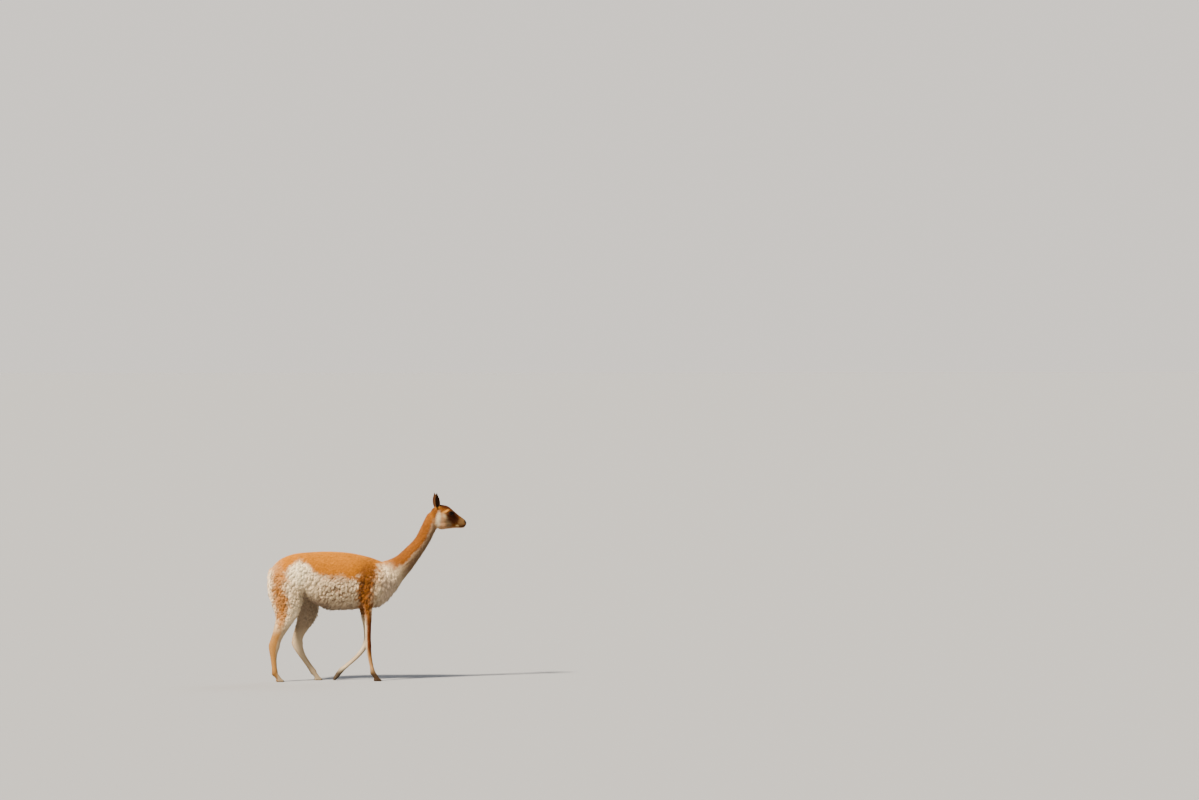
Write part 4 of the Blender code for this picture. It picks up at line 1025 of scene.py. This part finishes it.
def coat(name, pick, count, sizes, clump, surface, seed, rings=1):
    """One piece of the coat. Sizes gives each lock's length, width and rise, and clump the size of the
    clumps, how far the locks draw together, how much the clumps stand up, and how wavy the locks are."""
    draw = np.random.default_rng(seed)
    roots, out, spots = scatter(pick, count, draw)
    length, width, rise = (np.broadcast_to(part, (count,)) * draw.uniform(0.8, 1.2, count) for part in sizes(roots))
    spread, draw_in, stand, wave = clump
    lie, free = lie_of(roots, out)
    length, rise = length * (0.35 + 0.65 * free), rise * (0.25 + 0.75 * free)
    heart_count = max(int((face_area * pick).sum() / spread**2), 3)
    hearts, _, _ = scatter(pick, heart_count, np.random.default_rng(seed + 50))
    tree = KDTree(heart_count)
    for index, heart in enumerate(hearts):
        tree.insert(heart, index)
    tree.balance()
    nearest = np.array([tree.find(root)[1] for root in roots])
    heart_draw = np.random.default_rng(seed + 80)
    bend = heart_draw.normal(0, 0.3 * min(stand * 2, 1), heart_count)[nearest]
    bend = bend + draw.normal(0, 0.16, count) + ripple(roots, 0.1, 9) * 0.12
    lie = lie * np.cos(bend)[:, None] + np.cross(out, lie) * np.sin(bend)[:, None]
    across = np.cross(out, lie)
    heart_gap = hearts[nearest] - roots
    heart_gap -= out * dotted(heart_gap, out)
    off = np.linalg.norm(heart_gap, axis=1)
    heart_gap *= np.minimum(1, spread / np.maximum(off, 1e-6))[:, None]
    mound = 1 - stand * veil(off, spread * 0.15, spread * 0.75)
    height = rise * mound * (1 + (heart_draw.uniform(-0.25, 0.25, heart_count) * stand)[nearest])
    phase = draw.uniform(0, 6.28, count)
    rows = []
    for index in range(rings + 1):
        t = index / rings
        lift = height * (math.sin(math.pi * min(t, 0.8) * 0.62) * 1.06 - 0.1 * t) - 0.0012 * (index == 0)
        swing = wave * np.sin(phase + index * 2.4) * (index > 0)
        rows.append(roots + lie * (length * (t * (1 - 0.18 * stand * t)))[:, None] + out * lift[:, None]
                    + across * (width * swing)[:, None] + heart_gap * (draw_in * t**1.4))
    roll = draw.normal(0, 0.35, count)
    flat = across * np.cos(roll)[:, None] + out * np.sin(roll)[:, None]
    over = np.cross(lie, flat)
    stray = heart_draw.normal(0, 0.35 * spread, (heart_count, 3))[nearest] + draw.normal(0, 0.16 * spread, (count, 3))
    tone = draw.uniform(0.88, 1.12, count)
    tone *= (1 + heart_draw.uniform(-0.12, 0.12, heart_count) * min(stand * 2, 1))[nearest]
    tip = markings_and_shade(roots + stray, out) * (tone * (1 + ripple(roots, 0.022, 12) * 0.07))[:, None]
    # Painted shade in the wool: each lock's root is painted darker and warmer, most at the gaps between clumps, with
    # brown underwool (partly shade) in the gaps on the front flank; the tips are painted a little lighter.
    gap = stand * veil(off, spread * 0.2, spread * 0.75)
    root = tip * (1.02 - 0.26 * stand - 0.58 * gap)[:, None] * np.array((1.0, 0.92, 0.82))
    brown, underwool = gap * flank_underwool_and_shade(roots), np.array(linear(GAP_UNDERWOOL_AND_SHADE))
    colours = (toward(root, underwool * 0.6, brown), toward(tip, underwool, brown * 0.8) * 1.06)
    facing = unit(over * 0.5 + out * 0.5) - heart_gap * (0.8 * stand / spread)
    made = lock_mesh(name, rows, flat, over, facing, width, width * 0.3, colours, spots)
    return placed(made, surface)


def hair_material(name, roughness, sheen, tint_spread):
    """Hair of one kind: fine lines along each lock, matt, with a soft sheen at its edges."""
    surface, shader = new_material(name)
    lines = noise(surface, read(surface, "strand", "Vector"), 1.0, 2)
    tone = mapped(surface, lines, 1 - tint_spread, 1 + tint_spread, 0.3, 0.7)
    fill_node(surface, shader,
              {"Roughness": roughness, "Specular IOR Level": 0.1, "Sheen Weight": sheen, "Sheen Roughness": 0.5},
              {"Base Color": toned(surface, read(surface, "coat_colour"), tone),
               "Normal": bumped(surface, lines, 0.8, 0.0008)})
    return surface


# The fleece on the flank, belly, shoulder, chest and thighs is fine crimped wool, three to four
# centimetres long, in rounded clumps of two to three centimetres.
fleece_wool = hair_material("crimped fleece wool", 0.95, 0.12, 0.2)


def fleece_sizes(points):
    """Long on the flank, shorter on the thigh and under the belly, and shortest where a lower leg or the
    smooth back begins."""
    x, y, height = points.T
    z = zones(points)
    short = np.maximum(veil(z["leg"], 0.0, 0.75), veil(z["neck"], 0.0, 0.6) * 0.8)
    short = np.maximum(short, veil(height - row_at(TAN_EDGE, x), -0.09, 0.0) * 0.8)
    leg_top = veil(-np.abs(x + 0.005), -0.09, -0.06) + veil(-x, 0.38, 0.46)
    short = np.maximum(short, veil(0.62 - height, 0.0, 0.15) * leg_top)
    under = veil(0.6 - height, 0.0, 0.08)
    thigh, chest = veil(-x, 0.5, 0.6), veil(x, 0.1, 0.18)
    length = (0.03 - 0.004 * under - 0.006 * thigh) * (1 - short) + 0.013 * short
    rise = (0.016 - 0.004 * thigh - 0.004 * under - 0.005 * chest) * (1 - short) + 0.0042 * short
    tuft = np.exp(-((x + 0.249) / 0.016)**2 - (y / 0.02)**2) * veil(-height, -0.56, -0.53)
    return length + 0.014 * tuft, 0.0024 - 0.0006 * short, rise + 0.006 * tuft


trunk = 1 - face_zones["tail"]
near_side, rear_part = face_middle[:, 1] < 0, face_middle[:, 0] < -0.42
front_part = face_middle[:, 0] > -0.02
middle_part = ~rear_part & ~front_part
for piece_name, pick, count, seed in (
        ("fleece_flank_right", middle_part & near_side, 39000, 11),
        ("fleece_flank_left", middle_part & ~near_side, 39000, 12),
        ("fleece_thigh_right", rear_part & near_side, 31000, 13),
        ("fleece_thigh_left", rear_part & ~near_side, 31000, 14),
        ("fleece_chest", front_part, 34000, 15)):
    coat(piece_name, face_zones["fleece"] * trunk * pick, count, fleece_sizes, (0.019, 0.5, 0.8, 0.9),
         fleece_wool, seed)

# The back and rump carry shorter, smoother wool, about two centimetres long, that lies backwards.
back_wool = hair_material("short back wool", 0.95, 0.08, 0.18)
for piece_name, pick, seed in (("back_coat_right", near_side, 21), ("back_coat_left", ~near_side, 22)):
    coat(piece_name, face_zones["back"] * trunk * pick, 31000, lambda points: (0.021, 0.0019, 0.0048),
         (0.012, 0.25, 0.3, 0.15), back_wool, seed)


# The neck has close woolly hair of a grain about a centimetre across, a little longer at its base.
def neck_sizes(points):
    up = veil(past(points, NAPE, NAPE_NORMAL), -0.1, 0.0)
    return 0.017 + 0.006 * veil(-points[:, 0], -0.34, -0.22) - 0.007 * up, 0.0017 - 0.0004 * up, 0.0056 - 0.0036 * up


coat("neck_coat", face_zones["neck"], 40000, neck_sizes, (0.009, 0.32, 0.45, 0.2), back_wool, 31)

# The tail is a flat brush of longer wool that hangs against the rump.
coat("tail_coat", face_zones["tail"], 1900, lambda points: (0.04, 0.0046, 0.012), (0.02, 0.35, 0.5, 0.3),
     fleece_wool, 41, rings=3)

# The face has short smooth hair, a few millimetres on the muzzle and longer on the cheek and crown.
face_hair = hair_material("short face hair", 0.9, 0.0, 0.16)


def face_sizes(points):
    """Longer to the rear, and short again round the eyes and at the roots of the ears."""
    share = veil(-straightened(points)[:, 0], -0.66, -0.5)
    up, near, _ = ear_shares(points)
    short = veil(-near, -0.036, -0.014) * veil(-np.abs(up), -0.5, -0.1) * 0.5
    for side in (-1, 1):
        gap = np.linalg.norm(points - np.array(head_point(EYE, side)), axis=1)
        short = np.maximum(short, veil(-gap, -0.036, -0.022) * 0.55)
    return [(least + more * share) * (1 - short) for least, more in
            ((0.0046, 0.0064), (0.0008, 0.0006), (0.0006, 0.0012))]


haired = 1 - veil(bare_share(face_middle), 0.3, 0.8)
coat("head_coat", face_zones["head"] * haired * (1 + 1.2 * veil(face_middle[:, 0], 0.6, 0.68)), 44000,
     face_sizes, (0.006, 0.1, 0.15, 0.1), face_hair, 51)

# The ears are covered with very short hair, light behind; the dark inside the cup is painted shade.
coat("ear_coat", face_zones["ear"], 8000,
     lambda points: (0.0035 + 0.0035 * veil(ear_shares(points)[0], 0.15, 0.5), 0.0011, 0.0009),
     (0.005, 0.1, 0.1, 0.1), face_hair, 61)

# The lower legs have short straight hair that lies flat, down to the nails.
leg_hair = hair_material("short leg hair", 0.9, 0.0, 0.16)


def leg_sizes(points):
    share, upper = veil(points[:, 2], 0.04, 0.3), 1 - veil(zones(points)["leg"], 0.2, 1.0)
    return 0.0085 + 0.0055 * share, 0.0011 + 0.0007 * share + 0.0006 * upper, 0.0004 + 0.0006 * share + 0.0018 * upper


lower_part = 1 - veil(face_middle[:, 2], 0.05, 0.22)
for piece_name, pick, seed in (("hind_leg_coat", face_middle[:, 0] < HIND_PART, 71),
                               ("fore_leg_coat", face_middle[:, 0] >= HIND_PART, 72)):
    coat(piece_name, face_zones["leg"] * (1 + 1.2 * lower_part) * pick, 21000, leg_sizes, (0.008, 0.1, 0.2, 0.1),
         leg_hair, seed)

# The eyes are glass: a dark brown iris with a long dark pupil under a clear, wet, slightly raised front.
SIDES = ((-1, "right"), (1, "left"))
IRIS_EDGE = 0.72
eye_glass, eye_shader = new_material("dark eye glass")
iris = read(eye_glass, "iris", "Vector")
iris_parts = add_node(eye_glass, "ShaderNodeSeparateXYZ", links={"Vector": iris}).outputs
flat_iris = add_node(eye_glass, "ShaderNodeCombineXYZ", links={"X": iris_parts["X"], "Y": iris_parts["Y"]})
from_middle = add_node(eye_glass, "ShaderNodeVectorMath", {"operation": "LENGTH"},
                       links={0: flat_iris.outputs["Vector"]})
iris_ramp = ramped(eye_glass, from_middle.outputs["Value"], (
    (0.0, "#030202"), (0.3, "#140C08"), (0.42, "#140A05"), (0.6, "#1C0F06"), (0.74, "#080504"), (1.0, "#FFFFFF")))
ray_shade = mapped(eye_glass, noise(eye_glass, iris, 9, 4), 0.5, 1.5)
fill_node(eye_glass, eye_shader,
          {"Roughness": 0.35, "Coat Weight": 0.25, "Coat Roughness": 0.02, "Coat IOR": 1.36, "Specular IOR Level": 0.0},
          {"Base Color": toned(eye_glass, iris_ramp, ray_shade)})
for side, word in SIDES:
    ahead, out, up = eye_aim(side)
    middle = head_point(EYE, side)
    mesh = bmesh.new()
    bmesh.ops.create_uvsphere(mesh, u_segments=48, v_segments=32, radius=EYE_RADIUS - 0.0002)
    for vertex in mesh.verts:
        front = vertex.co.normalized().z - IRIS_EDGE
        local = vertex.co * (1 + 0.045 * (front / (1 - IRIS_EDGE)) ** 0.6 if front > 0 else 1.0)
        vertex.co = middle + ahead * local.x + up * local.y + out * local.z
    eye = finish_mesh("eyeball_" + word, mesh)
    ahead, out, up = eye_gaps(point_values(eye.data, "co"), side)
    stored(eye.data, "iris", "FLOAT_VECTOR", "vector",
           np.stack((ahead, up, out), 1) / EYE_RADIUS * (0.85, 1.15, 1.0))
    placed(eye, eye_glass)
    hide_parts("eye_" + word)

# Long dark lashes stand out over each eye from the rim of its upper lid.
LASHES = 46
LASH_WIDTH = 0.00055
lash_draw = np.random.default_rng(91)
lash_parts = []
for side in (-1, 1):
    ahead, out, up = (np.array(axis) for axis in eye_aim(side))
    middle = np.array(head_point(EYE, side))
    for index in range(LASHES):
        angle = math.radians(8 + 164 * index / (LASHES - 1)) + lash_draw.normal(0, 0.02)
        cos, sin = math.cos(angle), math.sin(angle)
        away = ahead * LID_OPENING[0] * cos + up * (LID_OPENING[1] * sin * (1 - LID_CURVE * cos ** 2))
        rim = out * math.sqrt(max((EYE_RADIUS + 0.0015)**2 - away @ away, 1e-6)) + away * 1.03
        lie = out * 0.75 + up * (0.1 + 0.2 * sin) + ahead * 0.55 * cos + np.array((0, 0, -0.28))
        lash_parts.append((*(middle + rim), *lie, *up, 0.0105 + 0.004 * sin))
lash_parts = np.array(lash_parts)
lash_roots, lash_lies, lash_outs = lash_parts[:, 0:3], unit(lash_parts[:, 3:6]), lash_parts[:, 6:9]
lash_lengths = (lash_parts[:, 9] * lash_draw.uniform(0.8, 1.15, len(lash_parts)))[:, None]
lash_across = unit(np.cross(lash_outs, lash_lies))
lash_over = np.cross(lash_lies, lash_across)
lash_rows = [lash_roots + lash_lies * (lash_lengths * t - 0.001 * (t == 0))
             + lash_over * (lash_lengths * (0.35 * t * t - 0.12 * t)) for t in (0, 0.33, 0.67, 1)]
lash_width = np.full(len(lash_parts), LASH_WIDTH)
lash_colours = (np.tile(linear("#17100C"), (len(lash_parts), 1)),) * 2
lashes = lock_mesh("eyelashes", lash_rows, lash_across, lash_over, lash_over, lash_width, lash_width, lash_colours,
                   np.random.default_rng(92).uniform(0.01, 0.99, (len(lash_parts), 2)))
placed(lashes, hair_material("dark lash hair", 0.9, 0.0, 0.1))

# Each toe ends in a narrow dark horn nail, slightly hooked, with faint growth rings across it.
NAIL = (0.74, 1.0, 0.0062, 0.007)
NAIL_STEPS = 12
NAIL_BLUNTNESS = 0.9375
nail_horn, nail_shader = new_material("dark nail horn")
horn_place = object_place(nail_horn)
horn_rings = add_node(nail_horn, "ShaderNodeTexWave", {"wave_type": "BANDS", "bands_direction": "X"},
                      {"Scale": 260, "Distortion": 3, "Detail": 2}, {"Vector": horn_place}).outputs["Fac"]
fill_node(nail_horn, nail_shader, {"Roughness": 0.42}, {
    "Base Color": ramped(nail_horn, noise(nail_horn, horn_place, 160, 3), ((0.0, "#1B1511"), (1.0, "#4A3A2C"))),
    "Normal": bumped(nail_horn, horn_rings, 0.3, 0.0004)})
start, end, half_width, half_depth = NAIL
for name in LEGS:
    fetlock, tip = Vector(LEGS[name][3]), Vector(LEGS[name][4])
    trails = tip.x < fetlock.x
    for side, word in SIDES:
        rows = []
        for step in range(NAIL_STEPS + 1):
            part = step / NAIL_STEPS
            share = start + (end - start) * part
            taper = math.sqrt(max(1 - (part * NAIL_BLUNTNESS) ** 2, 0))
            height = fetlock.z * (1 - 0.98 * share) if trails else 0.0095 - 0.004 * part**2
            rows.append((fetlock.x + (tip.x - fetlock.x) * share, tip.y + side * 0.013, height,
                         half_depth * taper, half_width * taper))
        claw = loft(f"{name}_nail_{word}_horn", path_rings(rows), 20)
        mesh = bmesh.new()
        mesh.from_mesh(claw.data)
        flat = bmesh.ops.bisect_plane(mesh, geom=all_parts(mesh), dist=1e-6, plane_co=(0, 0, 0),
                                      plane_no=(0, 0, 1), clear_inner=True)["geom_cut"]
        bmesh.ops.edgeloop_fill(mesh, edges=[part for part in flat if isinstance(part, bmesh.types.BMEdge)])
        bmesh.ops.recalc_face_normals(mesh, faces=mesh.faces)
        mesh.to_mesh(claw.data)
        mesh.free()
        placed(claw, nail_horn)
        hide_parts(f"{name}_nail_{word}")
